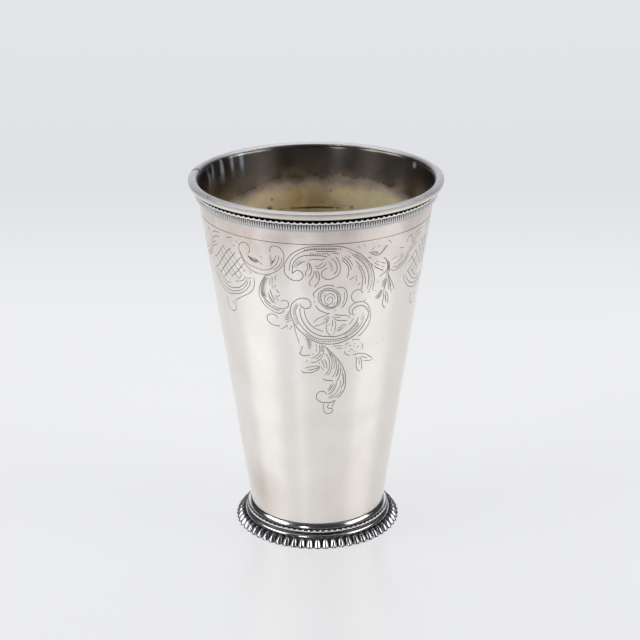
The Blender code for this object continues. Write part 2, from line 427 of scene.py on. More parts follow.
fittings = {
    "clouds": (120, 5, 0.55, 0.36, 0.68),
    "patinaShade": (420, 4, 0.55, 0.25, 0.6, 0.8, 1.0),
    "patinaShadeRough": 0.3,
    "worn": (300, 4, 0.55, 0.3, 0.7),
    "wornLevels": (0.8, 1.3),  # shares of the roughness
    "scratches": (500, 3),
    "scratchDepth": 0.00005,
}

lipLook = {
    "bright": (0.90, 0.87, 0.81),
    "dull": (0.85, 0.815, 0.755),
    "tinted": (0.62, 0.575, 0.515),
    # painted reflection: the cool tone of overhead light on the lip's top
    "coolReflection": (0.85, 0.842, 0.855),
    "recess": (0.008, 0.008, 0.008),
    "roughness": 0.32,
    "wear": 0.015,
}

footLook = {
    "bright": (0.80, 0.805, 0.82),
    "dull": (0.72, 0.72, 0.73),
    "tinted": (0.50, 0.465, 0.42),
    "recess": (0.010, 0.010, 0.011),
    "roughness": 0.15,
    "wear": 0.006,
}

wireLook = {
    "bright": (0.97, 0.96, 0.945),
    "dull": (0.90, 0.885, 0.865),
    "recess": (0.012, 0.011, 0.010),
    "roughness": 0.22,
    "wear": 0.01,
}

fluteLook = {
    "bright": (0.96, 0.95, 0.935),
    "dull": (0.88, 0.865, 0.85),
    "recess": (0.012, 0.011, 0.010),
    "roughness": 0.30,
    "wear": 0.01,
}


def bandSilver(name, look):
    finish, tree, shader = newFinish(name)
    place = objectPlace(tree)
    tone = blend(tree, patches(tree, place, fittings["clouds"]), look["bright"], look["dull"])
    # painted tints; on the lip also a painted cool reflection on its top
    for layer in ("tinted", "coolReflection"):
        if layer in look:
            tone = blend(tree, painted(tree, layer), tone, look[layer])
    # the recesses: dark oxide and painted shade, broken up by a grain
    patinaShade = times(tree, painted(tree, "recess"), patches(tree, place, fittings["patinaShade"]))
    tree.links.new(blend(tree, patinaShade, tone, look["recess"]), shader.inputs["Base Color"])
    levels = [look["roughness"] * share for share in fittings["wornLevels"]]
    worn = patches(tree, place, (*fittings["worn"], *levels))
    rough = plus(tree, worn, times(tree, patinaShade, fittings["patinaShadeRough"]))
    tree.links.new(rough, shader.inputs["Roughness"])
    shader.inputs["Metallic"].default_value = 1.0
    scratches = grain(tree, place, *fittings["scratches"])
    uneven = bump(tree, scratches, look["wear"], fittings["scratchDepth"])
    tree.links.new(uneven, shader.inputs["Normal"])
    return finish


wallFinish = sheetSilver()
lipFinish = bandSilver("lipSilver", lipLook)
footFinish = bandSilver("footSilver", footLook)
wireFinish = bandSilver("wireSilver", wireLook)
fluteFinish = bandSilver("fluteSilver", fluteLook)
print("finishes made")


# the beaker's wall: a plain cone outside, engraved by hand

beaker = {
    "footRadius": 24.45,
    "flare": 0.45,
    "flareStart": 132.2,
    "thickness": 0.8,
    "insideFrom": 0.6,  # share of the thickness past which a point counts as inside
    "topUnderLip": 0.7,  # the lip moulding covers the cut edge
    "edgeRound": 0.06,
    "mouthFlare": 0.30,  # the inside opens a little more over the last millimetre
    "mouthStart": 132.9,
    "mouthCurve": 2.2,
    "roundSteps": 288,
    "smoothUnder": 12,  # degrees
    "footRises": (0, 12, 24, 36),  # rows of the mesh, above the foot end
    "bandLevels": (127.9, 128.2, 130.2, 131.2),  # rows behind the band and the wire
    "mouthDrops": (0.02, 0.2, 0.4, 0.6, 0.85),  # rows inside, below the edge
    "insideLevels": (126, 118, 108, 92, 76, 60, 44, 28, 14),
}

engraving = {
    "ringLine": 122.55,  # height of the engraved ring
    "ringWidth": 0.30,
    "ringTurns": (range(-60, 66, 5), range(60, 66)),  # they overlap, so no pointed end shows
    "panelTop": -1.25,  # drop along the slant from the ring line
    "panelBottom": 70.0,
    "sectorStart": -32.5,  # degrees from the front
    "sector": 120.0,
    "margin": 1.0,  # degrees past the sector in which strokes still count
    "cutSlope": 0.62,  # depth of a cut against half its width
    "cutStep": 0.42,  # between points along a cut
    "cutHalf": (0.045, 0.34),  # half width of a cut: this, plus this share of its written width
    "pointReach": (0.7, 0.3),  # length of a pointed end: millimetres, or this share of the cut if less
    "pointCurve": 0.7,
    "edgeStep": 0.1,  # between points along a leaf's edges
    "fineShare": 0.25,  # of a step, for the curve that the steps are measured on
    "flowInset": 0.03,  # cuts along a leaf stop this share short of its ends
    "flowPoints": 9,
    "beadRadius": 0.31,
    "beadStep": 0.85,
    "beadSides": 6,
    "gridStep": 1.3,
    "gridClear": 0.5,  # from the nearest cut
    "sliver": 0.001,  # faces this close to the panel's ends are dropped
    "searchCell": 0.6,  # size of the squares in which cuts are looked up
    "leastDepth": 0.002,
    "fullDepth": 0.08,  # painted as 1
}

wallOuter, wallFoot, wallTop = span("beaker_wall")
coneSlope = (wallOuter - beaker["flare"] - beaker["footRadius"]) / (wallTop - wallFoot)
coneAngle = math.atan(coneSlope)


def coneRadius(height):
    return beaker["footRadius"] + coneSlope * (height - wallFoot)


def outerRadius(height):
    rise = max(0.0, height - beaker["flareStart"]) / (wallTop - beaker["flareStart"])
    return coneRadius(height) + beaker["flare"] * rise


apexToRing = coneRadius(engraving["ringLine"]) / math.sin(coneAngle)


def unroll(turn, drop):  # the cone laid flat, so lengths on it are true
    reach = apexToRing - drop
    angle = math.radians(turn) * math.sin(coneAngle)
    return Vector((reach * math.sin(angle), reach * math.cos(angle)))


def rolledPlace(point):  # back from the flat sheet to turn and drop
    turn = math.degrees(math.atan2(point[0], point[1]) / math.sin(coneAngle))
    return turn, apexToRing - math.hypot(point[0], point[1])


def onCone(turn, drop, depth):
    height = engraving["ringLine"] - drop * math.cos(coneAngle)
    radius = coneRadius(height) - depth * math.cos(coneAngle)
    angle = math.radians(turn - 90)
    height += depth * math.sin(coneAngle)
    return radius * math.cos(angle) * mm, radius * math.sin(angle) * mm, height * mm


# engraved motifs: (width, points), each point (degrees from the front, drop in millimetres)

crestScroll = {
    "cuts": [
        (0.34, [(-12.2, 11.8), (-11.3, 10.9), (-10, 10.25), (-8.8, 10.15), (-7.7, 10.5), (-6.9, 11.2),
                (-6.6, 12.1), (-7, 13), (-8.2, 13.8), (-10, 14.1), (-12, 13.95), (-13.6, 13.4), (-15, 12.5),
                (-15.8, 11.4), (-16, 10), (-15.8, 8.5), (-15.2, 7.2), (-14.4, 6.2), (-13.4, 5.1), (-12, 4),
                (-10.3, 3), (-8.2, 2.1), (-5.5, 1.3), (-2.5, 0.85), (1, 0.65), (5, 0.6), (8.5, 0.75),
                (11.5, 1.05), (14.5, 1.8), (17.5, 2.9), (20, 4), (22.5, 5.2), (24.5, 6.6), (26.5, 8.2),
                (28.2, 10), (29.5, 12), (30.4, 14), (30.7, 16), (30.5, 18), (29.9, 20)]),
        (0.28, [(-13.4, 10.8), (-13.3, 9), (-12.2, 6.4), (-10, 4.3), (-6.5, 2.75), (-4, 2.2), (-1, 1.95),
                (3, 1.85), (7, 1.9), (10, 2.1)]),
        (0.36, [(-0.8, 2.6), (2, 2.55), (5, 2.62), (7.5, 2.75), (10, 2.95)]),
        (0.22, [(7, 3.5), (10, 3.65), (11.4, 4.15)]),
        (0.34, [(-12, 11.8), (-11.9, 10.2), (-11.7, 8.8), (-11.3, 7.5), (-10.5, 6.5), (-9.4, 5.6),
                (-8, 4.9), (-6, 4.35), (-3.5, 4.15), (0, 4.2), (3, 4.35), (5.5, 4.85)]),
        (0.24, [(-9.4, 8.5), (-8.6, 7.8), (-7.5, 7.2), (-6.2, 6.7), (-5, 6.4)]),
        (0.30, [(17, 4.4), (20, 6), (23, 8), (24.5, 9.4), (25.8, 11), (26.6, 12.5), (27.1, 14),
                (27.3, 15.7), (27.3, 17.3), (27, 19)]),
        (0.30, [(19, 7), (20.5, 8), (22.7, 9.9), (23.7, 11.1), (24.5, 12.3), (25.1, 13.8), (25.5, 15.5),
                (25.6, 17.2)]),
        (0.20, [(20.2, 12.4), (20.4, 14), (20.6, 15.6)]),
        (0.24, [(21.1, 17), (22, 16.4), (22.9, 15.8)]),
        (0.30, [(24.6, 20.6), (24.2, 19.7), (23.3, 19), (22.2, 18.5), (20.5, 18.6), (19.1, 19.3),
                (18.4, 20.3), (18.3, 21.3), (18.9, 22.4), (20, 23.1), (21.2, 23.5)]),
    ],
    "beads": [
        [(-5.5, 2.2), (-3, 1.75), (0, 1.45), (3, 1.4), (6, 1.5), (9, 1.7), (11.5, 2.1)],
        [(-2.8, 3.45), (-1.2, 3.65), (0.5, 3.55), (2.5, 3.5), (4.8, 3.5), (6, 4)],
        [(19.5, 4.6), (22.5, 6.1), (25.5, 8.2), (27, 9.9), (28.2, 11.6), (29, 13.5), (29.3, 15.3),
         (29.2, 17), (28.7, 18.6), (27.9, 20)],
        [(21.3, 9.6), (22.3, 11), (23.2, 12.5), (23.8, 14), (24, 15.6), (23.9, 17.2), (23.6, 18.4)],
    ],
    "flows": [
        (0.14, 1, [(14, 3.3), (17, 4.6), (20, 6.2), (23, 8.2), (25.6, 11), (26.9, 14), (27.1, 17.3)],
         [(14.4, 2.2), (17.6, 3.3), (20.4, 4.8), (23.4, 6.6), (26.4, 9.4), (28.2, 12.4), (29, 15.5),
          (28.9, 18.4)]),
        (0.14, 3, [(-11.9, 9.8), (-11.5, 8.2), (-10.4, 6.7), (-8.2, 5.2)],
         [(-9, 9.6), (-8.8, 8.5), (-7.7, 7.5), (-5.4, 6.6)]),
    ],
}

shell = {
    "cuts": [
        (0.34, [(12, 6), (13, 6.6), (14, 7.4), (15, 8.2), (15.8, 9.2), (16.1, 10.5), (16, 12),
                (15.6, 12.8), (15, 13.5)]),
        (0.36, [(12.2, 5.2), (13.2, 5.7), (14.2, 6.3), (15.2, 7.1), (16, 8), (16.7, 8.9), (17.3, 9.9),
                (17.6, 10.7)]),
        (0.30, [(13.3, 4.9), (14.5, 5.4), (15.7, 6.2), (16.8, 7.2), (17.6, 8.2), (18.2, 9.2)]),
        (0.22, [(14.8, 4.6), (16, 5.2), (17.3, 6.1)]),
        (0.26, [(16.2, 14.1), (17.2, 14.1), (18.3, 13.6), (19.4, 12.8)]),
        (0.30, [(8.8, 4.7), (9.8, 5.4), (10.8, 6.6), (11.5, 8), (11.8, 9.5), (11.5, 11), (10.7, 12),
                (9.3, 12.8), (7.8, 13.3), (6, 13.55), (4.4, 13.3), (3.1, 12.6), (2.5, 11.5), (2.7, 10.6),
                (3.5, 9.8), (4.6, 9.3), (5.8, 9.25)]),
        (0.34, [(7, 5.5), (8.2, 6), (9.2, 6.8), (9.9, 8), (10.1, 9.3), (9.8, 10.6), (8.3, 12)]),
    ],
    "hatches": [
        (0.20, 9, [(6.2, 6.2), (7.3, 7), (8, 7.8), (8.3, 8.8), (8.2, 10), (7.9, 11)],
         [(5.3, 6.8), (6.2, 7.8), (6.8, 8.8), (7, 9.8), (7.7, 10.8)]),
    ],
}

crestLeaves = {
    "cuts": [
        (0.32, [(-4.2, 6.3), (-3, 5.85), (-1.4, 5.65), (0.6, 5.65), (2.3, 5.9), (3.3, 5.75), (3.9, 5)]),
        (0.30, [(-5, 7), (-4.5, 7.8), (-4.3, 8.8), (-4.5, 9.6), (-5, 10.3), (-5.4, 11), (-5.4, 11.8),
                (-5, 12.4)]),
        (0.28, [(-4.2, 6.8), (-3.6, 7.4), (-3.3, 8.3), (-3.3, 9.2), (-3.6, 10)]),
        (0.32, [(-4.4, 6.5), (-3.1, 7.7), (-2.6, 8.7), (-2.4, 9.8), (-2.5, 10.7), (-3.2, 11.6), (-4, 12.4)]),
        (0.28, [(-0.9, 9.9), (-0.5, 10.6), (-0.1, 11.3), (0, 12.3), (-0.1, 13.3)]),
        (0.34, [(-0.1, 9.9), (0.7, 10.4), (1.3, 11.2), (1.55, 12.2), (1.4, 13.3), (0.9, 14.4), (0.2, 15.2),
                (-0.6, 16), (-1.5, 16.6)]),
        (0.28, [(-1, 9.9), (-1.2, 11), (-1.5, 12), (-2.2, 12.9), (-3, 13.7), (-3.5, 14.6), (-3.4, 15.5),
                (-2.7, 16.4)]),
        (0.30, [(-1, 8.4), (0.5, 8.3), (1.7, 7.9), (2.7, 7.2), (3.2, 6.6)]),
        (0.32, [(-0.5, 9.3), (1, 9.15), (2.4, 8.9), (3.5, 8.4), (4.4, 7.6), (4.8, 6.8)]),
        (0.18, [(-0.2, 6.8), (0.9, 6.7)]),
    ],
    "hatches": [
        (0.18, 5, [(0, 10.6), (0.1, 12), (0, 13.4)], [(0.7, 10.6), (1.4, 12), (1.2, 13.5)]),
    ],
}

rose = {
    "cuts": [
        (0.34, [(9.3, 16.9), (8.4, 16.2), (7, 15.85), (5, 15.8), (3, 16.3), (1, 17), (-0.4, 18), (-1.6, 19),
                (-1.5, 19.8), (-0.7, 20.8)]),
        (0.18, [(-1.1, 21.4), (-1.2, 22.1), (-1.1, 22.9)]),
        (0.32, [(-0.8, 23.2), (0, 24.3), (1, 25.2), (2.3, 25.9), (4, 26.4), (5.5, 26.85), (7.5, 26.9)]),
        (0.22, [(8.6, 26.6), (9.6, 26), (10.4, 25.4)]),
        (0.32, [(10, 17.2), (11, 16.85), (12.2, 16.85), (13.4, 17), (14.5, 17.6), (15.4, 18.6), (15.9, 19.8),
                (16, 21), (15.7, 22.2), (15.2, 23.2), (14.6, 24), (13.6, 24.7), (12.5, 25)]),
        (0.22, [(14.1, 18.4), (14.6, 20), (14.5, 21.5), (14, 23), (13, 23.8)]),
        (0.28, [(0.7, 20.6), (0.9, 19.3), (1.8, 18.3), (3.5, 17.4), (5.5, 16.95), (7.5, 17.1), (9.3, 17.8),
                (10.8, 18.5), (11.9, 19.5), (12.4, 20.7), (12.4, 22), (12, 23.2), (10.8, 24.1), (9.2, 24.8),
                (7.5, 25.1), (5.5, 25), (3.8, 24.2), (2.4, 23.1), (1.2, 22), (0.7, 20.6)]),
        (0.34, [(2.2, 20.4), (2.6, 18.9), (4, 18), (6, 17.8), (8, 18.1), (9.6, 18.8), (10.6, 19.8),
                (10.9, 21), (10.9, 22.4), (10.3, 23.6), (9, 24.3), (7.2, 24.45), (5.2, 24.1), (3.7, 23.4),
                (2.7, 22.2), (2.2, 20.4)]),
        (0.28, [(9.7, 21.6), (9, 20), (7.2, 19.2), (5.2, 19.6), (4.1, 21.1), (4.7, 22.7), (6.4, 23.3),
                (8.1, 22.6), (8.4, 21.2), (7.2, 20.4), (5.9, 20.8), (5.8, 21.8),
                (6.7, 22.1)]),  # a wound bud
        (0.22, [(9.8, 22.3), (9.2, 23.2), (8, 23.8)]),
        (0.22, [(3.4, 20.6), (3.9, 19.5), (5, 18.8)]),
        (0.20, [(4.6, 23.3), (5.6, 23.8), (6.8, 23.9)]),
    ],
    "hatches": [
        (0.20, 13, [(9.8, 18.6), (10.8, 19.8), (11.1, 21), (11, 22.6), (10.4, 23.6)],
         [(10.8, 18.7), (11.8, 19.7), (12.2, 20.9), (12.2, 22), (11.7, 23.2)]),
        (0.18, 9, [(2.5, 18.9), (2.1, 20.4), (2.5, 22)], [(1.6, 18.6), (0.9, 20.5), (1.4, 22)]),
        (0.16, 9, [(4.5, 23.9), (6, 24.4), (8, 24.5), (9.6, 24.1)],
         [(4.3, 24.4), (6, 25), (8, 25), (9.8, 24.5)]),
        (0.16, 9, [(2.6, 18.8), (4, 17.9), (6, 17.7), (8, 18), (9.6, 18.7)],
         [(2, 18.3), (3.6, 17.5), (5.6, 17.1), (7.6, 17.2), (9.8, 18.1)]),
    ],
}

roseLeaves = {
    "cuts": [
        (0.28, [(6.5, 27), (5, 27.6), (3, 28.2), (1, 28.7), (-0.7, 29.6), (-1.9, 30.7)]),
        (0.28, [(-1.5, 31.85), (0.3, 31.7), (2.5, 31.1), (4.3, 30.4), (5.5, 29.6), (6.3, 28.7),
                (6.8, 27.9)]),
        (0.22, [(3, 29.7), (4.5, 29.2), (5.8, 28.2), (6.5, 27.6)]),
        (0.26, [(6.8, 29.2), (5.9, 30), (5.4, 31), (5.2, 32.2), (5.3, 33.4), (5.9, 34.6), (7, 35.5),
                (8.3, 36.3)]),
        (0.36, [(6.6, 29), (7.4, 28.5)]),
        (0.30, [(8.3, 29.2), (8.6, 30.3), (8.6, 31.5), (8.2, 32.6)]),
        (0.26, [(9.4, 29.8), (10.2, 30.8), (10.4, 32), (10, 33.5), (9.8, 35)]),
        (0.18, [(6.8, 30.6), (6.6, 32)]),
        (0.18, [(8, 32.8), (8, 34.2)]),
        (0.18, [(9.3, 34.4), (9.3, 36)]),
        (0.28, [(9, 27.4), (10.5, 27.5), (12, 27.9), (13.5, 28), (16, 28.2), (17, 28.6), (17.8, 29.1),
                (18.5, 29.7)]),
        (0.30, [(8.2, 28), (9, 28.7), (10, 29.4), (11.2, 29.9), (13, 30.1), (15, 30.15), (17, 30.4)]),
        (0.26, [(9.2, 27.9), (10.2, 28.4), (11.5, 28.7), (13, 29.1)]),
        (0.28, [(11.3, 33.2), (12.5, 32.8), (13.5, 32.4), (14.3, 31.9), (15.3, 31.8), (16, 32.2),
                (16.4, 32.9)]),
        (0.24, [(10.7, 33.7), (12, 33.7), (13.5, 33.3), (14.8, 33), (15.6, 32.6)]),
        (0.22, [(10.8, 34.3), (12.2, 34.1), (13.5, 33.7)]),
    ],
}

lowerScroll = {
    "cuts": [
        (0.34, [(-8.7, 22.9), (-8.3, 23.8), (-7.5, 24.4), (-6.5, 24.9), (-5.2, 25), (-4, 24.6), (-3.2, 24),
                (-2.9, 23.2), (-3.2, 22.2), (-4.2, 21.4), (-5.5, 20.95), (-7, 20.9), (-8.7, 21.05),
                (-10, 21.4), (-11.4, 22.2), (-12.5, 23), (-13.3, 24), (-13.8, 25.2), (-14, 26.5),
                (-13.8, 28), (-13.2, 29.5), (-12.3, 31), (-11.2, 32.2), (-10, 33.3), (-8.8, 34.2),
                (-7.5, 35), (-6.2, 35.8), (-4, 36.9), (-1.8, 37.7), (0.7, 38.5), (3, 38.9), (6, 39.2),
                (9, 39.3)]),
        (0.42, [(8, 39.3), (11, 39.2), (15, 38.6), (18.5, 37.6), (21.8, 36.4), (24.3, 34.9), (26.7, 32.9),
                (28.4, 30.8), (28.9, 29.6), (29, 28.5)]),
        (0.34, [(29, 28.8), (28.6, 27.7), (28, 26.9), (27, 26.2), (25.8, 25.5), (24.5, 25.1), (23, 25),
                (21.5, 25.2), (20.4, 25.6), (19.5, 26.1), (19.2, 26.9), (19.4, 27.7), (19.9, 28.3),
                (20.9, 28.7)]),
        (0.30, [(18.9, 28.5), (18.2, 27.9), (17.6, 27.1), (17.4, 26.2), (17.7, 25.3), (18.5, 24.5),
                (19.7, 23.9), (21.2, 23.5), (23, 23.4), (25, 23.6), (26.5, 24.2), (27.8, 25), (28.8, 26),
                (29.5, 27.3), (30, 28.5), (30.4, 29.8), (30.3, 31.3), (29.7, 32.8), (28.9, 33.9),
                (27.9, 34.8), (26.6, 35.8), (25, 36.8), (23.2, 37.4)]),
        (0.20, [(25, 23.6), (26, 23.2), (27, 22.6)]),
        (0.28, [(-9.2, 23.3), (-10, 24), (-10.7, 25), (-11.1, 26.3), (-11, 27.6), (-10.6, 28.9),
                (-9.9, 30.1), (-9, 31.3), (-8, 32.3), (-5.8, 34), (-3.2, 35.5), (-0.5, 36.6), (3, 37.2),
                (8, 37.4), (13.5, 37.2), (18.5, 36.3), (22, 34.8), (24.6, 33), (25.8, 31), (26.4, 29)]),
        (0.36, [(-8.6, 24.3), (-8.8, 25.7), (-8.7, 27), (-8.3, 28.4), (-7.7, 29.6), (-6.9, 30.7),
                (-4.8, 32.8), (-2, 34.5), (2, 35.75), (5, 36.1), (8, 36.25), (11, 36.25), (14, 35.8),
                (17, 34.8), (19.5, 33.4), (21.8, 31.5), (22.6, 30.4), (23, 29.3)]),
        (0.30, [(-6.4, 25.3), (-6.4, 26.5), (-5.5, 28.8), (-3.7, 31), (-1.3, 32.5), (2, 33.7), (4, 34)]),
        (0.22, [(20.2, 29.2), (20, 30), (19.2, 30.8), (17.4, 32.3)]),
    ],
    "beads": [
        [(-5.6, 35.2), (-3, 36.4), (0, 37.5), (3.5, 38.1), (6, 38.15), (8.5, 38.2), (13, 37.9), (17, 37.1)],
    ],
    "hatches": [
        (0.20, 12, [(15, 35.5), (18.2, 34.2), (20.7, 32.5), (22.6, 30.4)],
         [(15.6, 36.9), (19, 36.1), (22, 34.8), (24.2, 33.3)]),
        (0.18, 18, [(-10.6, 22.6), (-12, 24), (-12.9, 26), (-12.9, 28), (-12.1, 30.4), (-10.7, 32.2)],
         [(-9.8, 23.6), (-10.9, 25), (-11.4, 26.6), (-11.2, 28), (-10.6, 29.4), (-9.4, 31.1)]),
        (0.14, 5, [(23.6, 30.6), (24.6, 28.8), (25.4, 27.6)], [(25.6, 31.2), (26.2, 29.4), (26.8, 28.2)]),
    ],
}

pendant = {
    "cuts": [
        (0.24, [(-12.5, 31), (-12, 33), (-11.5, 34.8), (-11, 36), (-10.5, 37.2), (-9.7, 39.5)]),
        (0.20, [(-9.5, 40.2), (-8.5, 40.2), (-7.4, 40.1)]),
        (0.34, [(-7.4, 40.1), (-8.3, 40.9), (-8.8, 41.7), (-9.3, 42.6), (-9.8, 43.1), (-9, 43.45),
                (-8, 43.8), (-6.5, 43.9), (-5, 43.8), (-3.2, 43.15)]),
        (0.24, [(-2.7, 42.8), (-2, 43.2), (-1.4, 43.7)]),
        (0.20, [(-0.8, 38.5), (-0.4, 39.3), (-0.2, 40.3), (-0.2, 41.5), (-0.4, 42.6)]),
        (0.28, [(0.9, 39.1), (1.5, 40), (1.7, 41), (1.7, 42), (1.2, 42.9), (0.4, 43.5), (-0.6, 44),
                (-1.6, 44.5), (-3, 44.9), (-3.9, 45.1)]),
        (0.28, [(2.4, 38.9), (3.2, 40), (3.8, 41), (3.9, 42.2), (3.6, 43.3), (2.9, 44.4), (2, 45.2),
                (0.5, 46), (-1, 46.45), (-2.5, 46.6), (-4, 46.7)]),
        (0.34, [(2.7, 42.8), (2, 43.7), (1, 44.4), (0, 45), (-1, 45.4)]),
        (0.24, [(-5.1, 45.6), (-6, 46.2), (-6.7, 46.8)]),
        (0.30, [(1.5, 46.1), (1.5, 47.5)]),
        (0.26, [(2.1, 48.1), (0, 48.1), (-2, 48.2), (-4, 48.4), (-6, 48.8), (-7.3, 49.2)]),
        (0.40, [(2.1, 48.2), (0.3, 48.9), (-1, 49.2), (-2.5, 49.5), (-5.5, 49.9)]),
        (0.32, [(2, 48.4), (0.4, 49.7), (-1.5, 50.3), (-3.5, 50.8), (-6, 50.9), (-8, 50.8), (-9.8, 49.9)]),
    ],
    "hatches": [
        (0.18, 9, [(-6.9, 36.3), (-6.2, 37.5), (-5.9, 38.5), (-5.4, 39.5), (-4.9, 40.8)],
         [(-2.9, 37.6), (-2.5, 38.7), (-2.3, 39.8), (-2.8, 40.8), (-4, 41.5)]),
        (0.20, 6, [(1.4, 39.6), (1.8, 41), (1.8, 42.3)], [(2.9, 39.6), (3.7, 41), (3.7, 42.6)]),
    ],
}

acanthus = {
    "cuts": [
        (0.36, [(3.4, 39.6), (5.6, 40.8), (7.8, 42.3), (10, 44), (12, 45.6), (13.9, 47.2), (14.9, 48.4),
                (16, 50), (16.9, 51.5), (17.3, 53), (17.6, 56), (17.4, 57.5), (16.9, 58.6), (16.2, 59.4),
                (14.4, 60.8), (12.3, 61.9)]),
        (0.24, [(5.2, 40.9), (6.5, 42), (8, 43.5), (9.2, 45), (10, 46.6), (10.2, 48.3), (9.8, 50)]),
        (0.28, [(4.2, 43), (5.2, 43.3), (6, 44), (6.7, 45), (7.3, 46.2), (7.5, 47.6), (7.3, 49), (6.6, 50.3),
                (5.6, 51.3), (4.4, 52.1)]),
        (0.24, [(6.5, 42.6), (7.6, 43.8), (8.4, 45.2), (8.9, 46.8), (8.8, 48.4), (8.3, 49.9), (7.4, 51.2),
                (6.2, 52.2)]),
        (0.34, [(3.8, 45.2), (4.5, 45.7), (5.2, 46.5), (5.7, 47.4), (5.9, 48.5), (5.7, 49.6)]),
        (0.34, [(2.3, 45.2), (2.9, 45.8), (3.4, 46.6), (3.9, 47.3), (4.3, 48.2), (4.5, 49.2)]),
        (0.24, [(2.2, 48.1), (3, 48.8), (3.6, 49.6), (4, 50.4)]),
        (0.26, [(10.4, 45.3), (11.2, 46.8), (11.6, 48.4), (11.4, 50), (10.8, 51.3), (9.8, 52.3), (8.6, 53)]),
        (0.30, [(12.6, 47.6), (12.9, 49), (12.8, 50.5), (12.3, 51.7), (11.5, 52.8)]),
        (0.32, [(13.8, 49), (14.1, 50.3), (14.1, 51.3), (13.6, 52.5), (13.1, 53.5), (11.7, 55)]),
        (0.26, [(14.9, 51.2), (15.6, 52.4), (16, 53.6), (16.2, 55), (15.9, 56.4), (15.3, 57.5),
                (14.5, 58.5)]),
        (0.36, [(3.3, 52.9), (4, 53.5), (5, 53.9), (6.5, 54.1), (8, 54.2), (9.3, 54.3), (9.7, 55)]),
        (0.34, [(8.4, 55.6), (8.3, 56.5), (7.8, 57.3), (7, 57.9), (6.2, 58.3)]),
        (0.24, [(9.6, 55), (9.3, 56.4), (8.5, 57.7), (7.4, 58.5), (6.3, 59)]),
        (0.34, [(12, 54.8), (11.7, 56), (11.3, 57.2), (10.6, 58), (9.9, 58.7), (9, 59.2), (7.8, 59.6),
                (6.3, 59.9)]),
        (0.24, [(10.6, 55.4), (10.2, 56.8), (9.4, 57.9), (8.2, 58.8)]),
        (0.26, [(14.4, 54.3), (14.6, 55.5), (14.3, 56.6), (13.7, 57.5), (13, 58.3), (12.2, 59.2),
                (10.8, 60.1), (9, 60.6), (7, 60.9)]),
        (0.24, [(15.6, 58.3), (14.4, 59.5), (12.8, 60.5), (10.8, 61.2), (8.6, 61.3), (6.4, 61.5)]),
        (0.34, [(5.8, 60.3), (5.7, 59.6), (5.2, 59), (4.4, 58.65), (3.2, 58.5), (1.8, 58.6), (0.7, 59.1),
                (-0.1, 59.8), (-0.4, 60.6), (-0.2, 61.4), (0.5, 62.1), (1.5, 62.6), (2.8, 63.1),
                (4.2, 63.3), (6, 63.3), (8.7, 63.3), (9.9, 63), (11.8, 62.3)]),
        (0.30, [(4.9, 63.7), (4.3, 64.3), (4, 65.2), (4.1, 66.1), (4.5, 66.9), (5.3, 67.6), (6.3, 68),
                (7.8, 68), (8.9, 67.7), (9.8, 67.2), (10.1, 66.6), (9.7, 66), (8.9, 65.8), (7.8, 65.8),
                (6.9, 65.6), (6.7, 65), (7.2, 64.3), (7.9, 63.6)]),
        (0.34, [(11.7, 62.4), (11.2, 63.2), (10.4, 63.8), (9.9, 64.6), (9.5, 65.6)]),
    ],
    "flows": [
        (0.12, 1, [(6, 41.2), (10, 44.2), (13.8, 47.4), (16, 50.4), (17.2, 54), (16.9, 57.5)],
         [(6, 42), (9.4, 45), (12.4, 48), (14.6, 51.4), (16, 54.6), (15.6, 57.2)]),
        (0.12, 1, [(11.6, 48.6), (11.2, 50.4), (10, 52.2)], [(13.4, 49.6), (13.2, 52), (11.9, 54.2)]),
    ],
}

flower = {
    "cuts": [
        (0.28, [(19.9, 39), (20.5, 38.5), (21.2, 38.3), (22.3, 38.4), (23.9, 38.6), (25.1, 39.4)]),
        (0.28, [(25.8, 40.3), (26.6, 40.8), (27, 41.4), (27.1, 42.1), (26.9, 42.7), (26.2, 43)]),
        (0.28, [(18.6, 39.2), (17.3, 39.6), (16.4, 39.9), (16.3, 40.4)]),
        (0.26, [(15.7, 41), (16.3, 41.2), (16.6, 41.6)]),
        (0.32, [(15.8, 42.3), (16, 43), (16.5, 43.6), (17.2, 44.1), (18.5, 44.4), (20, 44.5)]),
        (0.28, [(19.3, 41.7), (20, 42.2), (20.8, 42.6), (21.6, 42.9)]),
        (0.22, [(20.7, 40.7), (21.5, 41.1), (22, 41.3)]),
        (0.22, [(17.4, 40.5), (19, 40.5), (20.2, 41)]),
        (0.20, [(25.2, 41.6), (25.9, 42)]),
        (0.46, [(21.7, 39.9), (22.6, 40.1)]),
        (0.46, [(23.4, 41.8), (24.1, 41.5), (24.8, 41.5)]),
        (0.46, [(18.2, 42.9), (19, 43), (19.7, 42.9)]),
        (0.46, [(21.9, 43.3), (22.9, 43.5)]),
        (0.22, [(8.5, 40.2), (12, 40.2), (15.3, 40.5)]),
        (0.22, [(10, 41), (12.5, 41.2), (15, 41.4)]),
        (0.32, [(20.6, 44.6), (22, 44.6), (23.8, 44.35), (25.5, 44.4), (27, 44.6), (28.5, 44.9), (30, 45.4),
                (32.3, 46.4), (34.6, 47.5)]),
        (0.30, [(28, 47.6), (29.5, 47.8), (31, 48), (32.5, 48.2), (34.3, 48.05), (34.8, 47.7)]),
        (0.34, [(26, 45.6), (27.2, 45.9), (28.5, 46.3), (29.8, 46.7), (31.2, 47)]),
        (0.32, [(22.7, 45.2), (23.5, 46), (23.6, 47), (23.7, 48.5), (23.9, 49.8), (24.4, 50.7), (25.2, 51.3),
                (26.3, 51.6), (27.2, 51.6)]),
        (0.30, [(25.3, 45.6), (26.3, 46.5), (27, 47.4), (27.3, 48.5), (27.5, 49.7), (27.5, 51),
                (28.4, 51.5)]),
        (0.26, [(24.3, 45.9), (25, 46.6), (25.2, 47.1)]),
        (0.26, [(25.5, 46.8), (25.9, 48), (26, 49.4)]),
    ],
}

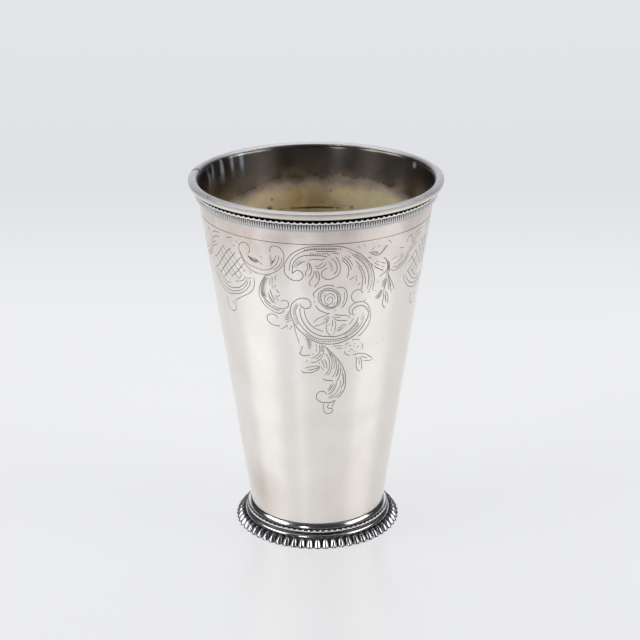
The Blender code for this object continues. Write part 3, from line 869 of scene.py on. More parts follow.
branch = {
    "cuts": [
        (0.24, [(19.9, 2.2), (20.6, 1.9), (21.4, 1.4)]),
        (0.20, [(22.9, 1), (23.6, 1.5), (24.2, 2.1)]),
        (0.46, [(25.5, 6.5), (26.8, 6.7), (28.1, 7)]),
        (0.36, [(26, 4.2), (27.4, 4.9), (29, 5.7), (30.6, 6.2), (32.4, 6.3), (33.4, 5.6), (34.6, 4.6),
                (35.6, 3.6), (36.3, 3.2), (37, 4.2)]),
        (0.30, [(27.6, 4.3), (28.7, 4.9), (29.7, 5.6)]),
        (0.34, [(28.6, 4.3), (30, 5), (31.2, 6)]),
        (0.34, [(30, 4.6), (31.2, 5.2), (32.2, 6.1)]),
        (0.34, [(33.3, 6), (34.5, 4.9), (35.9, 3.8)]),
        (0.22, [(27.2, 4), (28.4, 3.3), (29.2, 2.7)]),
        (0.20, [(30.4, 2.6), (31.6, 2.8), (32.8, 3.1)]),
        (0.28, [(36.6, 1.25), (37.8, 1.7), (38.7, 2.3), (39.4, 2.95)]),
        (0.40, [(29.6, 10.2), (31.2, 11), (33, 11.8), (34.6, 12.4), (36.3, 13)]),
        (0.28, [(29.4, 8.9), (31, 9.6), (32.4, 10.2), (33.6, 10.6)]),
        (0.26, [(30.4, 8.3), (31.6, 8.8), (33, 9.3)]),
        (0.28, [(33.3, 9), (34.8, 9.7), (37, 10.3)]),
        (0.22, [(33.8, 10.7), (35.2, 11.2), (36.6, 11.5)]),
        (0.26, [(27.6, 8.8), (28.6, 9.5), (29.6, 10.2)]),
        (0.46, [(34.8, 7.5), (36, 8.1), (37.2, 9), (38.1, 10), (38.8, 11.2), (39.2, 12.4), (39.3, 13.4)]),
        (0.36, [(36.6, 8.6), (37.6, 9.7), (38.2, 10.8), (38.4, 12), (38, 13), (37.2, 13.6), (36.2, 13.9),
                (34.6, 14.5), (33.2, 15.2)]),
        (0.36, [(38.3, 9.2), (39.1, 10.3), (39.7, 11.7), (39.9, 13), (39.6, 14), (38.8, 14.7),
                (37.6, 15.2)]),
        (0.30, [(38.6, 11.2), (38.9, 12.6), (38.5, 13.7), (37.4, 14.4)]),
        (0.44, [(39.2, 14.6), (40, 16.4), (40.9, 17.9), (41.8, 19.2), (42.6, 20.4)]),
        (0.30, [(39.7, 15), (40.8, 16.5), (42.2, 18), (43.6, 19.4), (44.5, 20.8), (45, 22)]),
        (0.28, [(41, 18.6), (41.7, 20), (42.6, 21.4), (43.4, 22.8)]),
        (0.26, [(39.2, 16.6), (39.9, 18.4), (40.6, 20), (41.4, 21.6)]),
        (0.36, [(38.6, 15.4), (37.6, 16.4), (36.4, 17.2), (35.6, 17.7)]),
        (0.40, [(38.4, 16.6), (37, 17.8), (35.4, 18.5)]),
        (0.36, [(38.2, 17.6), (36.8, 18.8), (35.5, 19.2)]),
        (0.26, [(38.2, 18.6), (37.4, 19.4), (36.4, 19.8)]),
        (0.34, [(38.6, 16), (38.3, 18), (37.8, 20), (37.3, 21.4)]),
        (0.24, [(32.4, 16.5), (33.2, 16.9), (33.9, 17.3)]),
        (0.40, [(37.2, 20.5), (35.4, 21.5), (33.8, 22.2), (32, 22.8)]),
        (0.40, [(36.8, 21.4), (35.2, 22.4), (33.8, 23.1), (32.4, 23.6)]),
        (0.30, [(36.2, 22.4), (34.8, 23.2), (33.6, 23.8)]),
        (0.28, [(36.4, 20.4), (35, 20.9), (33.6, 21.5)]),
        (0.20, [(31.4, 19.9), (33, 20.6)]),
        (0.36, [(37.4, 21.4), (37.8, 23), (37.8, 24.4), (37.5, 25.4), (37.7, 26.4), (38.5, 27.3), (39.5, 28),
                (40.4, 27.8)]),
        (0.34, [(37.9, 21.2), (39.4, 22), (40.5, 23.1), (41.1, 24.4), (41.3, 25.6), (41.2, 26.8)]),
        (0.44, [(38.6, 22.2), (39.2, 23.6), (39.6, 24.9), (39.8, 26)]),
        (0.22, [(39.9, 24.9), (41, 24.8)]),
    ],
}

sideScroll = {
    "cuts": [
        (0.30, [(-36.2, 6.1), (-35, 5.5), (-34.3, 4.6), (-34.4, 3.3), (-35.3, 2.4), (-36.8, 1.95),
                (-38.5, 2.2), (-39.9, 2.8), (-40.9, 3.9), (-41, 5.3), (-40.6, 6.7), (-39.8, 8),
                (-38.5, 9.8), (-37, 11.2), (-35, 12.2), (-33, 12.75), (-31, 13.05), (-28.5, 13.1),
                (-26, 12.9), (-23.5, 12.4), (-21.5, 11.7), (-20, 11), (-18.5, 10.1), (-17.3, 9.1),
                (-16.5, 8), (-16, 6.7), (-15.8, 5.2), (-15.95, 3.9), (-16.5, 2.9), (-17.6, 2), (-19, 1.45),
                (-20.5, 1.35), (-21.8, 1.7), (-22.7, 2.5), (-22.9, 3.4), (-22.4, 4.3)]),
        (0.28, [(-40, 5.5), (-40.1, 6.7), (-39.5, 7.9), (-38.6, 8.9), (-37, 9.8), (-33, 10.8), (-28.5, 11.3),
                (-26, 11.2), (-24, 10.7), (-22.5, 10.1), (-21.2, 9.3), (-20.1, 8.4), (-19.3, 7.4),
                (-18.7, 6.3), (-18.5, 5.2), (-18.7, 4.5)]),
        (0.26, [(-17.1, 5.2), (-17, 6.3), (-17.4, 7.4), (-18.2, 8.5), (-19.3, 9.4), (-20.5, 10.2),
                (-22, 10.9)]),
        (0.32, [(-23.7, 5.8), (-22.4, 5.1)]),
        (0.34, [(-23.8, 6.5), (-22.1, 5.7)]),
        (0.36, [(-23.6, 7.3), (-21.7, 6.2)]),
        (0.36, [(-23.6, 8.1), (-21.9, 7.1)]),
        (0.34, [(-23.5, 8.9), (-22, 8)]),
        (0.24, [(-23.5, 9.6), (-22, 8.7)]),
        (0.34, [(-36.2, 6.7), (-33.6, 7.4), (-31, 7.7), (-29.4, 8.5), (-27.2, 9.5)]),
        (0.24, [(-28.9, 6.3), (-28, 6.5), (-27.2, 6.3)]),
        (0.20, [(-28.3, 7.4), (-27.3, 7.2)]),
        (0.24, [(-25, 7), (-23.8, 6.5)]),
        (0.26, [(-40.1, 14), (-39.3, 13.3), (-38, 12.9)]),
        (0.24, [(-36.2, 12.9), (-35.3, 13.4), (-34.5, 13.9)]),
    ],
    "hatches": [
        (0.34, 12, [(-19.5, 4.8), (-19.9, 5.8), (-20.6, 6.9), (-21.5, 7.9), (-22.4, 8.8)],
         [(-20.2, 5), (-20.6, 5.9), (-21.3, 6.7), (-22.2, 7.4)]),
        (0.30, 12, [(-36.2, 6.7), (-34.4, 7.3), (-32.5, 7.7), (-31, 7.6), (-29.7, 8.3)],
         [(-34.5, 8.3), (-33, 8.9), (-31.5, 9.3), (-30.4, 8.8), (-29.7, 8.6)]),
    ],
}

leafSwirl = {
    "cuts": [
        (0.32, [(-23, 12.9), (-24.8, 13.1), (-26.4, 13.4), (-27.7, 14.6), (-29, 16), (-30, 17.3),
                (-30.7, 18.6), (-31.2, 20), (-31.2, 21.8), (-30.7, 22.6), (-30, 23.5), (-29.3, 24.5),
                (-28.3, 25.3), (-27, 26), (-25, 26.6), (-23.5, 27.2), (-21.8, 27.55), (-20.2, 27.65),
                (-18.7, 27.2), (-17.8, 26.6), (-16.9, 25.8)]),
        (0.50, [(-30.1, 21.2), (-29, 22), (-28, 22.6), (-26.8, 23.3), (-25.5, 24), (-24.2, 24.7)]),
        (0.30, [(-24.2, 24.7), (-23, 25.2), (-21.5, 25.5), (-20, 25.7), (-17.5, 25.6), (-15.8, 25.05),
                (-14.9, 24.2), (-14.8, 23.2), (-15.4, 22.4), (-16.4, 22.15), (-17.4, 22.3), (-18.3, 22.5),
                (-19.3, 22.9)]),
        (0.40, [(-24.7, 18.2), (-24.3, 19.3), (-23.9, 20.4), (-23.3, 21.4), (-22.6, 22.3), (-22, 22.9)]),
        (0.28, [(-25.7, 19.4), (-25.3, 20.8), (-24.5, 22), (-23.5, 22.9), (-22.5, 23.5), (-21.4, 23.6)]),
        (0.26, [(-26, 21), (-25, 22.4), (-24, 23.3), (-22.8, 24)]),
        (0.28, [(-22, 21), (-21.3, 21.7), (-20.6, 22.3), (-19.9, 22.7)]),
        (0.24, [(-22.4, 20.7), (-20.6, 20.9), (-19.4, 20.55), (-18.5, 20.3)]),
        (0.28, [(-20.9, 17.8), (-20.6, 18.6), (-19.9, 19.3), (-19.1, 19.8)]),
        (0.22, [(-21.3, 16.2), (-21.2, 17.6)]),
        (0.22, [(-22.3, 16.4), (-22.1, 18.5)]),
        (0.22, [(-20.4, 12.2), (-21, 13.7), (-21.3, 15.4)]),
        (0.20, [(-21.8, 13), (-22.8, 15), (-23.2, 17.2), (-23.1, 18.5)]),
        (0.20, [(-22.8, 13.2), (-24.1, 15.2), (-24.7, 17.3)]),
    ],
    "flows": [
        (0.12, 4, [(-26.4, 13.4), (-28.2, 15.1), (-29.6, 17), (-30.4, 18.8), (-30.7, 20.3), (-30.1, 21.3)],
         [(-23.4, 13.2), (-25, 15), (-26.2, 17), (-26.6, 19), (-26.5, 20.6), (-26, 22.6)]),
        (0.16, 2, [(-29.6, 22.8), (-27.5, 24.6), (-25, 25.8), (-22, 26.7), (-19.4, 26.9)],
         [(-28.4, 22.9), (-26.4, 24.2), (-24, 25.2), (-21.6, 25.9), (-18.8, 26.2)]),
    ],
    "hatches": [
        (0.24, 19, [(-26.6, 13.7), (-28.4, 15.2), (-29.8, 17), (-30.6, 18.8), (-30.8, 20.2), (-30.2, 21.2)],
         [(-25.8, 14.6), (-26.9, 16.2), (-27.5, 18), (-27.5, 19.6), (-27.2, 21), (-26.4, 22.4)]),
    ],
}

smallVolute = {
    "cuts": [
        (0.32, [(-21.5, 30), (-21.6, 29.4), (-22.2, 28.8), (-23.2, 28.4), (-24.5, 28.3), (-26, 28.6),
                (-27.2, 29.2), (-27.7, 30.2), (-27.4, 31.1), (-26.5, 31.9), (-25.2, 32.4), (-23.5, 32.7),
                (-21.8, 32.7), (-20.4, 32.4)]),
        (0.22, [(-21.5, 33.4), (-21.2, 32.9), (-20.4, 32.4)]),
        (0.30, [(-20.5, 34), (-18.8, 33.5), (-17.5, 32.9), (-16.5, 32.1), (-16.2, 31.6)]),
        (0.24, [(-16.4, 31.9), (-16.1, 32.5), (-16, 33.1)]),
        (0.26, [(-15.6, 33.7), (-14.7, 33.4), (-13.8, 32.6), (-12.9, 31.7)]),
        (0.30, [(-14.2, 26.2), (-15.9, 27.4)]),
        (0.36, [(-14.2, 27), (-15.5, 27.8), (-17.2, 28.8)]),
        (0.36, [(-14, 28), (-17.6, 29.5)]),
        (0.36, [(-13.8, 28.9), (-17.6, 30.3)]),
        (0.32, [(-13.4, 29.8), (-17.2, 31.2)]),
    ],
}

shield = {
    "cuts": [
        (0.28, [(-66, 12.8), (-63.5, 12.2), (-61.5, 11.3), (-59, 10), (-57, 8.8), (-55, 7.2), (-52.3, 5.6)]),
        (0.38, [(-66, 16.8), (-63.5, 16), (-61, 14.8), (-56, 11.5), (-51.5, 8.3), (-49.5, 7), (-46.8, 5.9)]),
        (0.38, [(-61, 17.8), (-59, 17), (-54, 13.7), (-49, 10.3), (-43.7, 6.7)]),
        (0.38, [(-57.3, 19), (-52.5, 16.2), (-47.5, 13), (-43, 9.9), (-40.2, 8)]),
        (0.38, [(-49.5, 17.2), (-45, 14.7), (-42.5, 13), (-38.8, 10.2)]),
        (0.28, [(-45, 17.6), (-43.5, 16.8), (-40.8, 14.9)]),
        (0.22, [(-64, 10.5), (-60, 13.2), (-56, 16), (-53, 18.2)]),
        (0.22, [(-60.5, 9), (-56, 12), (-52, 15), (-48.5, 17.6)]),
        (0.22, [(-57, 7.5), (-52, 11.2), (-47, 15), (-44, 17.2)]),
        (0.22, [(-53.5, 6.3), (-49, 9.6), (-44.5, 13), (-41, 15.4)]),
        (0.22, [(-49.5, 6.2), (-46, 8.6), (-42.5, 11.2), (-39.5, 13)]),
        (0.34, [(-65, 16.3), (-62, 18.4), (-60.3, 19.5), (-58.3, 20.5), (-56, 21.3), (-53.5, 21.8),
                (-50.5, 21.8), (-48, 21.4), (-45.5, 20.9), (-43.5, 20.2), (-41.5, 19.2), (-39.5, 17.8),
                (-38.2, 16.3)]),
        (0.32, [(-66.5, 17.5), (-65.3, 18.9), (-63.6, 20.2), (-61.5, 21.4), (-59, 22.3), (-56, 22.95),
                (-53, 23.3), (-50, 23.1), (-47.5, 22.6), (-45, 22), (-42.5, 21.1), (-40.3, 19.8),
                (-38.5, 18.3), (-37.3, 16.5)]),
        (0.30, [(-68.2, 17), (-67.7, 18.5), (-66.7, 19.9), (-65, 21.2), (-63, 22.4), (-60.5, 23.5),
                (-57.5, 24.3), (-54.5, 24.7), (-52, 24.5), (-50, 24.2), (-47, 23.6), (-44, 22.8),
                (-41, 21.6), (-38.5, 20), (-36.8, 18.5), (-35.8, 16.3)]),
        (0.30, [(-33.8, 14.8), (-33.4, 16.5), (-33.9, 18.3), (-35, 20), (-37, 21.4), (-39.5, 22.6),
                (-42, 23.6), (-45, 24.8), (-47.5, 25.8), (-49.5, 26.9)]),
        (0.28, [(-62, 16.3), (-60.5, 17.1), (-58.8, 18.2), (-57, 19.3), (-55, 20.1), (-52.8, 20.2),
                (-50.8, 19.7)]),
        (0.28, [(-47.5, 18.9), (-45.5, 18.4), (-43, 17.9), (-41, 17.3), (-39.8, 16.3), (-39, 15.7)]),
        (0.22, [(-52.5, 19.1), (-51, 18.5)]),
        (0.30, [(-40, 15.4), (-39.2, 15.9), (-37.9, 16), (-36.4, 15.8), (-34.8, 15.4)]),
        (0.30, [(-63, 3), (-60.5, 2), (-57, 1.5), (-54.5, 1.6)]),
        (0.30, [(-64.5, 5.8), (-61.5, 4.3), (-59.8, 3.8), (-57.5, 3.3), (-55.5, 3)]),
        (0.30, [(-64.8, 7.5), (-62.5, 6.3), (-60, 5.9)]),
        (0.30, [(-65.5, 8.8), (-63, 7.8), (-61, 7.2), (-58.5, 6.5)]),
        (0.26, [(-50, 2.6), (-48.5, 2), (-46.5, 1.6), (-44.5, 1.7)]),
        (0.20, [(-47, 3.2), (-45.3, 3)]),
        (0.28, [(-43.2, 2.2), (-42.2, 2.6), (-41.2, 2.9)]),
        (0.24, [(-45.3, 4.2), (-43.3, 4.6)]),
        (0.20, [(-42.7, 6.8), (-41.3, 7)]),
        (0.24, [(-58.5, 27.3), (-57, 27), (-55.7, 26.7)]),
        (0.28, [(-50.3, 26.6), (-49.6, 28), (-49.7, 29.7), (-51, 30.9), (-52.5, 31.4), (-54.2, 31.3),
                (-56, 30.6), (-57, 29.2), (-57, 27.8), (-56, 26.9)]),
        (0.20, [(-53, 27.8), (-51.5, 27.3)]),
        (0.20, [(-51.2, 28.4), (-50, 27.9)]),
    ],
}

shortScroll = {
    "cuts": [
        (0.28, [(50.6, 5), (50.7, 3.6), (51.6, 2.5), (53, 2.2), (54.4, 2.8), (55.4, 3.9), (55.8, 5.4),
                (55.4, 7.2), (54.3, 9.2), (52.8, 10.9), (51, 12.2), (48.5, 13.2), (46, 13.8), (43.5, 14),
                (41.5, 13.6), (40.3, 12.9)]),
        (0.26, [(53.8, 6), (53.4, 7.6), (52.2, 9.2), (50.5, 10.7), (48.5, 11.8), (46, 12.5), (43.5, 12.7),
                (41.6, 12.3)]),
        (0.26, [(45.3, 5.5), (46.5, 5.9), (48.8, 6.1)]),
        (0.30, [(46.5, 9.3), (48.2, 9)]),
        (0.22, [(47, 8.2), (48.5, 8.6)]),
        (0.24, [(40.3, 9.4), (42, 9.3), (43.5, 8.8), (44.5, 8.2)]),
        (0.24, [(49.8, 8.6), (48, 9.9), (46, 10.8), (44, 11.3), (41.8, 11.6)]),
    ],
    "flows": [
        (0.20, 1, [(54.3, 9.2), (52.8, 10.9), (51, 12.2), (48.5, 13.2), (46, 13.8), (43.5, 14)],
         [(52.2, 9.2), (50.5, 10.7), (48.5, 11.8), (46, 12.5), (43.5, 12.7)]),
    ],
}

motifs = [crestScroll, shell, crestLeaves, rose, roseLeaves, lowerScroll, pendant, acanthus, flower, branch,
          sideScroll, leafSwirl, smallVolute, shield, shortScroll]


def flowing(points, step):  # an even run of points on a smooth curve through those given
    flat = [unroll(*point) for point in points]
    closed = points[0] == points[-1]
    before = [flat[-2] if closed else flat[0] * 2 - flat[1]]
    after = [flat[1] if closed else flat[-1] * 2 - flat[-2]]
    knots = before + flat + after
    fine = []
    for i in range(1, len(knots) - 2):
        a, b, c, d = knots[i - 1:i + 3]
        pieces = max(2, round((c - b).length / (step * engraving["fineShare"])))
        for j in range(pieces):
            t = j / pieces
            fine.append(0.5 * (2 * b + (c - a) * t + (2 * a - 5 * b + 4 * c - d) * t * t
                               + (3 * b - a - 3 * c + d) * t * t * t))
    fine.append(flat[-1])
    run = [0.0]
    for a, b in zip(fine, fine[1:]):
        run.append(run[-1] + (b - a).length)
    count = max(2, round(run[-1] / step))
    even = []
    j = 0
    for i in range(count + 1):
        want = run[-1] * i / count
        while j < len(run) - 2 and run[j + 1] < want:
            j += 1
        gap = max(run[j + 1] - run[j], 1e-9)
        even.append(fine[j].lerp(fine[j + 1], min(1.0, (want - run[j]) / gap)))
    return even, run[-1], closed


def ribbon(points, width):  # centre line and half widths of one graver stroke, pointed at its ends
    line, length, closed = flowing(points, engraving["cutStep"])
    least, share = engraving["cutHalf"]
    reach, reachShare = engraving["pointReach"]
    fullAt = min(reach, length * reachShare)
    halves = []
    for i in range(len(line)):
        along = length * i / (len(line) - 1)
        toEnd = length if closed else max(0.0, min(along, length - along))
        halves.append((least + share * width) * min(1.0, (toEnd / fullAt) ** engraving["pointCurve"]))
    return line, halves, closed


def edgePair(first, second):  # fine runs of points along two edges
    return [flowing(edge, engraving["edgeStep"])[0] for edge in (first, second)]


def betweenEdges(edges, along, share):
    first, second = (edge[round(along * (len(edge) - 1))] for edge in edges)
    return rolledPlace(first.lerp(second, share))


def hatchStrokes(width, count, first, second):  # short cuts from edge to edge
    edges = edgePair(first, second)
    strokes = []
    for i in range(count):
        along = (i + 0.5) / count
        strokes.append((width, [betweenEdges(edges, along, 0.0), betweenEdges(edges, along, 1.0)]))
    return strokes


def flowStrokes(width, count, first, second):  # cuts that run along between two edges
    edges = edgePair(first, second)
    inset = engraving["flowInset"]
    last = engraving["flowPoints"] - 1
    strokes = []
    for i in range(count):
        share = (i + 1) / (count + 1)
        points = [betweenEdges(edges, inset + (1 - 2 * inset) * j / last, share) for j in range(last + 1)]
        strokes.append((width, points))
    return strokes


def gatherStrokes():
    strokes = []
    pits = []
    for motif in motifs:
        strokes += motif["cuts"]
        for hatch in motif.get("hatches", []):
            strokes += hatchStrokes(*hatch)
        for flow in motif.get("flows", []):
            strokes += flowStrokes(*flow)
        for row in motif.get("beads", []):
            pits += [rolledPlace(point) for point in flowing(row, engraving["beadStep"])[0]]
    for turns in engraving["ringTurns"]:
        strokes.append((engraving["ringWidth"], [(turn, 0.0) for turn in turns]))
    return strokes, pits


def chain(sheet, places, closed=False):  # adds places to the flat sheet, joined by edges
    start = len(sheet["points"])
    sheet["points"].extend(places)
    sheet["edges"].extend((start + i, start + i + 1) for i in range(len(places) - 1))
    if closed:
        sheet["edges"].append((start + len(places) - 1, start))


def strokeSides(line, halves, closed):
    left = []
    right = []
    last = len(line) - 1
    for i, (place, half) in enumerate(zip(line, halves)):
        ahead, behind = line[min(i + 1, last)], line[max(i - 1, 0)]
        if closed and i in (0, last):
            ahead, behind = line[1], line[-2]
        along = (ahead - behind).normalized()
        side = Vector((-along.y, along.x)) * half
        left.append(place + side)
        right.append(place - side)
    return left, right


def layStroke(sheet, points, width):
    line, halves, closed = ribbon(points, width)
    left, right = strokeSides(line, halves, closed)
    for i in range(len(line) - 1):
        sheet["segments"].append((line[i], line[i + 1], halves[i], halves[i + 1]))
    if closed:
        for loop in (line, left, right):
            chain(sheet, loop[:-1], True)
    else:
        chain(sheet, line)
        for side in (left, right):
            chain(sheet, [line[0]] + side[1:-1] + [line[-1]])


def layBead(sheet, centre):
    sheet["beads"].append(centre)
    sheet["points"].append(centre)
    rim = []
    for i in range(engraving["beadSides"]):
        angle = math.tau * i / engraving["beadSides"]
        rim.append(centre + Vector((math.cos(angle), math.sin(angle))) * engraving["beadRadius"])
    chain(sheet, rim, True)


def finder(places):  # finds the nearest of some places on the flat sheet
    tree = kdtree.KDTree(len(places))
    for i, place in enumerate(places):
        tree.insert((place.x, place.y, 0), i)
    tree.balance()
    return lambda place: tree.find((place.x, place.y, 0))[2]


def layGrid(sheet, first, last):  # the sheet's border, and an even net where no cut is near
    fromCuts = finder(sheet["points"])
    top, bottom = engraving["panelTop"], engraving["panelBottom"]
    columns = round(beaker["roundSteps"] * engraving["sector"] / 360)
    rows = round((bottom - top) / engraving["gridStep"])
    turns = [first + engraving["sector"] * i / columns for i in range(columns + 1)]
    drops = [top + (bottom - top) * i / rows for i in range(rows + 1)]
    for drop in (top, bottom):
        chain(sheet, [unroll(turn, drop) for turn in turns])
    for turn in (first, last):
        chain(sheet, [unroll(turn, drop) for drop in drops])
    for drop in drops[1:-1]:
        for turn in turns[1:-1]:
            place = unroll(turn, drop)
            if fromCuts(place) > engraving["gridClear"]:
                sheet["points"].append(place)


def depthRule(sheet):  # tells the depth of the engraving at a place on the flat sheet
    cell = engraving["searchCell"]
    fromBeads = finder(sheet["beads"])
    cells = {}

    def cellOf(place):
        return math.floor(place.x / cell), math.floor(place.y / cell)

    for segment in sheet["segments"]:
        cells.setdefault(cellOf((segment[0] + segment[1]) / 2), []).append(segment)

    def depthAt(place):
        within = engraving["beadRadius"] - fromBeads(place)  # how far inside the edge of a cut
        column, row = cellOf(place)
        around = [(column + i, row + j) for i in (-1, 0, 1) for j in (-1, 0, 1)]
        for a, b, halfA, halfB in (segment for key in around for segment in cells.get(key, ())):
            run = b - a
            t = max(0.0, min(1.0, (place - a).dot(run) / max(run.length_squared, 1e-12)))
            within = max(within, halfA + (halfB - halfA) * t - (place - a - run * t).length)
        depth = within * engraving["cutSlope"]
        return depth if depth > engraving["leastDepth"] else 0.0

    return depthAt


def flatSheet(strokes, pits, first, last):  # everything that the sector's mesh has to follow
    sheet = {"points": [], "edges": [], "segments": [], "beads": []}
    shifts = (-engraving["sector"], 0.0, engraving["sector"])  # strokes reach in from both neighbours
    start, end = first - engraving["margin"], last + engraving["margin"]
    for width, stroke in strokes:
        turns = [turn for turn, drop in stroke]
        for shift in shifts:
            if max(turns) + shift >= start and min(turns) + shift <= end:
                layStroke(sheet, [(turn + shift, drop) for turn, drop in stroke], width)
    for turn, drop in pits:
        for shift in shifts:
            if start < turn + shift < end:
                layBead(sheet, unroll(turn + shift, drop))
    layGrid(sheet, first, last)
    return sheet


def engravedSector():
    first = engraving["sectorStart"]
    last = first + engraving["sector"]
    strokes, pits = gatherStrokes()
    sheet = flatSheet(strokes, pits, first, last)
    flat, _, faces, _, _, _ = geometry.delaunay_2d_cdt(sheet["points"], sheet["edges"], [], 0, 1e-5, False)
    places = [rolledPlace(point) for point in flat]
    start = engraving["panelTop"] + engraving["sliver"]
    end = engraving["panelBottom"] - engraving["sliver"]
    kept = []
    for face in faces:
        turn, drop = (sum(places[i][k] for i in face) / 3 for k in (0, 1))
        if first < turn < last and start < drop < end:
            kept.append(face)
    used = sorted({i for face in kept for i in face})
    index = {old: new for new, old in enumerate(used)}
    depthAt = depthRule(sheet)
    depths = [depthAt(flat[i]) for i in used]
    solid = [onCone(*places[i], depth) for i, depth in zip(used, depths)]
    mesh = bpy.data.meshes.new("engravedSector")
    mesh.from_pydata(solid, [], [[index[i] for i in face] for face in kept])
    layer = mesh.attributes.new("cut", "FLOAT", "POINT")
    layer.data.foreach_set("value", [min(1.0, depth / engraving["fullDepth"]) for depth in depths])
    piece = bpy.data.objects.new("engravedSector", mesh)
    bpy.context.collection.objects.link(piece)
    print(f"engraved sector: {len(strokes)} strokes, {len(pits)} beads, {len(kept)} triangles")
    return piece


def plainWall(panelLow, panelHigh):  # the whole wall, with the band open that the engraving takes
    top = wallTop - beaker["topUnderLip"]
    edge = beaker["edgeRound"]
    levels = [wallFoot + rise for rise in beaker["footRises"]]
    levels += [panelLow, panelHigh, *beaker["bandLevels"], beaker["flareStart"], top - edge]
    outline = [(outerRadius(level), level) for level in levels]
    outline.append((outerRadius(top) - edge, top))
    levels = [top - drop for drop in beaker["mouthDrops"]]
    levels += [beaker["mouthStart"], *beaker["insideLevels"], wallFoot]
    for level in levels:
        rise = max(0.0, level - beaker["mouthStart"]) / (top - beaker["mouthStart"])
        flare = beaker["mouthFlare"] * rise ** beaker["mouthCurve"]
        outline.append((coneRadius(level) - beaker["thickness"] + flare, level))
    wall = drawSection("beakerWall", outline)
    spinWhole(wall, beaker["roundSteps"])

    pickOnly(wall)
    bpy.ops.object.mode_set(mode="EDIT")
    bpy.ops.mesh.select_mode(type="FACE")
    bpy.ops.mesh.select_all(action="DESELECT")
    bpy.ops.object.mode_set(mode="OBJECT")
    for face in wall.data.polygons:
        height = face.center.z / mm
        outside = radiusOf(face.center) > coneRadius(height) - beaker["thickness"] / 2
        face.select = outside and panelLow < height < panelHigh
    bpy.ops.object.mode_set(mode="EDIT")
    bpy.ops.mesh.delete(type="FACE")
    bpy.ops.object.mode_set(mode="OBJECT")
    return wall


def insideShare(co):
    height = co.z / mm
    rise = max(0.0, height - beaker["mouthStart"]) / (wallTop - beaker["mouthStart"])
    thin = beaker["thickness"] - beaker["mouthFlare"] * rise ** 2
    return 1.0 if outerRadius(height) - radiusOf(co) > thin * beaker["insideFrom"] else 0.0


def beakerWall():
    lean = math.cos(coneAngle)
    panelHigh = engraving["ringLine"] - engraving["panelTop"] * lean
    panelLow = engraving["ringLine"] - engraving["panelBottom"] * lean
    wall = plainWall(panelLow, panelHigh)
    panel = engravedSector()
    sectors = [panel]
    for i in (1, 2):
        pickOnly(panel)
        bpy.ops.object.duplicate()
        turned = bpy.context.object
        turned.rotation_euler.z = math.radians(engraving["sector"] * i)
        bpy.ops.object.transform_apply(location=False, rotation=True, scale=False)
        sectors.append(turned)
    pickOnly(wall)
    for sector in sectors:
        sector.select_set(True)
    bpy.ops.object.join()
    closeUp(wall)
    paint(wall, "inside", insideShare)
    smooth(wall, beaker["smoothUnder"])
    return wall


settle(beakerWall(), "beaker_wall", wallFinish)


# the disc that closes the foot end of the wall

disc = {
    "steps": 192,
    "smoothUnder": 40,
    "gap": 0.06,  # to the wall
    "eye": 0.02,  # a pinhole on the axis keeps the spun mesh clean
    "edge": [(-0.5, 0.0), (-0.1, 0.15), (0.0, 0.5)],  # from the rim and from the underside
    "turnUp": 0.9,  # a soldered fillet up the wall
    "fillet": (1.25, 0.9),
    "filletBack": 1.3,
    "crown": 0.15,
    "crownRows": [(0.7, 0.4), (0.35, 0.8)],  # shares of the radius and of the crown
    "insideFrom": 0.2,  # below the top
}


def baseDisc():
    _, low, high = span("base_disc")
    rim = coneRadius(high) - beaker["thickness"] - disc["gap"]
    filletTop = high + disc["turnUp"]
    outline = [(disc["eye"], low), (rim * 0.5, low)]
    outline += [(rim + out, low + up) for out, up in disc["edge"]]
    outline += [(rim + coneSlope * disc["turnUp"], filletTop)]
    outline += arc((rim - disc["filletBack"], filletTop), disc["fillet"], -8, -90, 6)
    outline += [(rim * out, high + disc["crown"] * up) for out, up in disc["crownRows"]]
    outline += [(disc["eye"], high + disc["crown"])]
    piece = drawSection("baseDisc", outline)
    spinWhole(piece, disc["steps"])
    paint(piece, "inside", lambda co: 1.0 if co.z / mm > high - disc["insideFrom"] else 0.0)
    smooth(piece, disc["smoothUnder"])
    return piece


settle(baseDisc(), "base_disc", wallFinish)


# the rounded moulding soldered round the mouth

lip = {
    "steps": 576,
    "smoothUnder": 38,
    "section": [(-3.0, -0.97), (-2.98, -0.82), (-2.9, -0.66), (-2.74, -0.48), (-2.52, -0.31), (-2.26, -0.15),
                (-2.02, -0.04), (-1.85, 0.0), (-1.6, -0.05), (-1.1, -0.22), (-0.45, -0.46), (-0.12, -0.58),
                (-0.04, -0.62), (-0.01, -0.68), (-0.03, -1.0), (-0.08, -1.5), (-0.14, -1.80), (-0.22, -2.06),
                (-0.34, -2.32), (-0.54, -2.58), (-0.80, -2.76)],  # from the outer edge and from the top
    "under": (-1.2, -0.02),  # where the underside starts, from the outer edge and from the bottom
    "gap": 0.03,  # to the wall
    "seamAt": 169.5,  # butt joint of the ring, degrees
    "seamHalf": 2.0,
    "seamDark": 0.8,
    "sunkHalf": 0.8,  # the solder line has sunk a little
    "sunkDepth": 0.10,
    "sunkIn": 0.0016,  # share of the radius
    "sunkFrom": 2.9,  # inwards from the outer edge
    "nickAt": 18.5,  # bruised inner edge
    "nickHalf": 4.5,
    "nickPush": (-0.05, 0.28),
    "nickSink": 0.5,  # share of the push
    "nickFrom": (2.5, 0.9),  # inwards from the outer edge, and down from the top
    "darkUnder": (2.6, 0.5),  # painted shade on the underside: below the top, and inwards from the outer edge
    "flatBand": (0.65, 1.6),  # below the top, tinted
    "coolTop": 0.64,
    "yellowAt": 270,  # the side that has yellowed most
    "yellowHalf": 42,
    "yellowTint": 0.5,
    "yellowWarm": 0.75,
}


def aroundLip(co, middle, half):  # 1 at a turn round the lip, 0 from half a width away
    return max(0.0, 1 - abs(turnOf(co) % 360 - middle) / half)


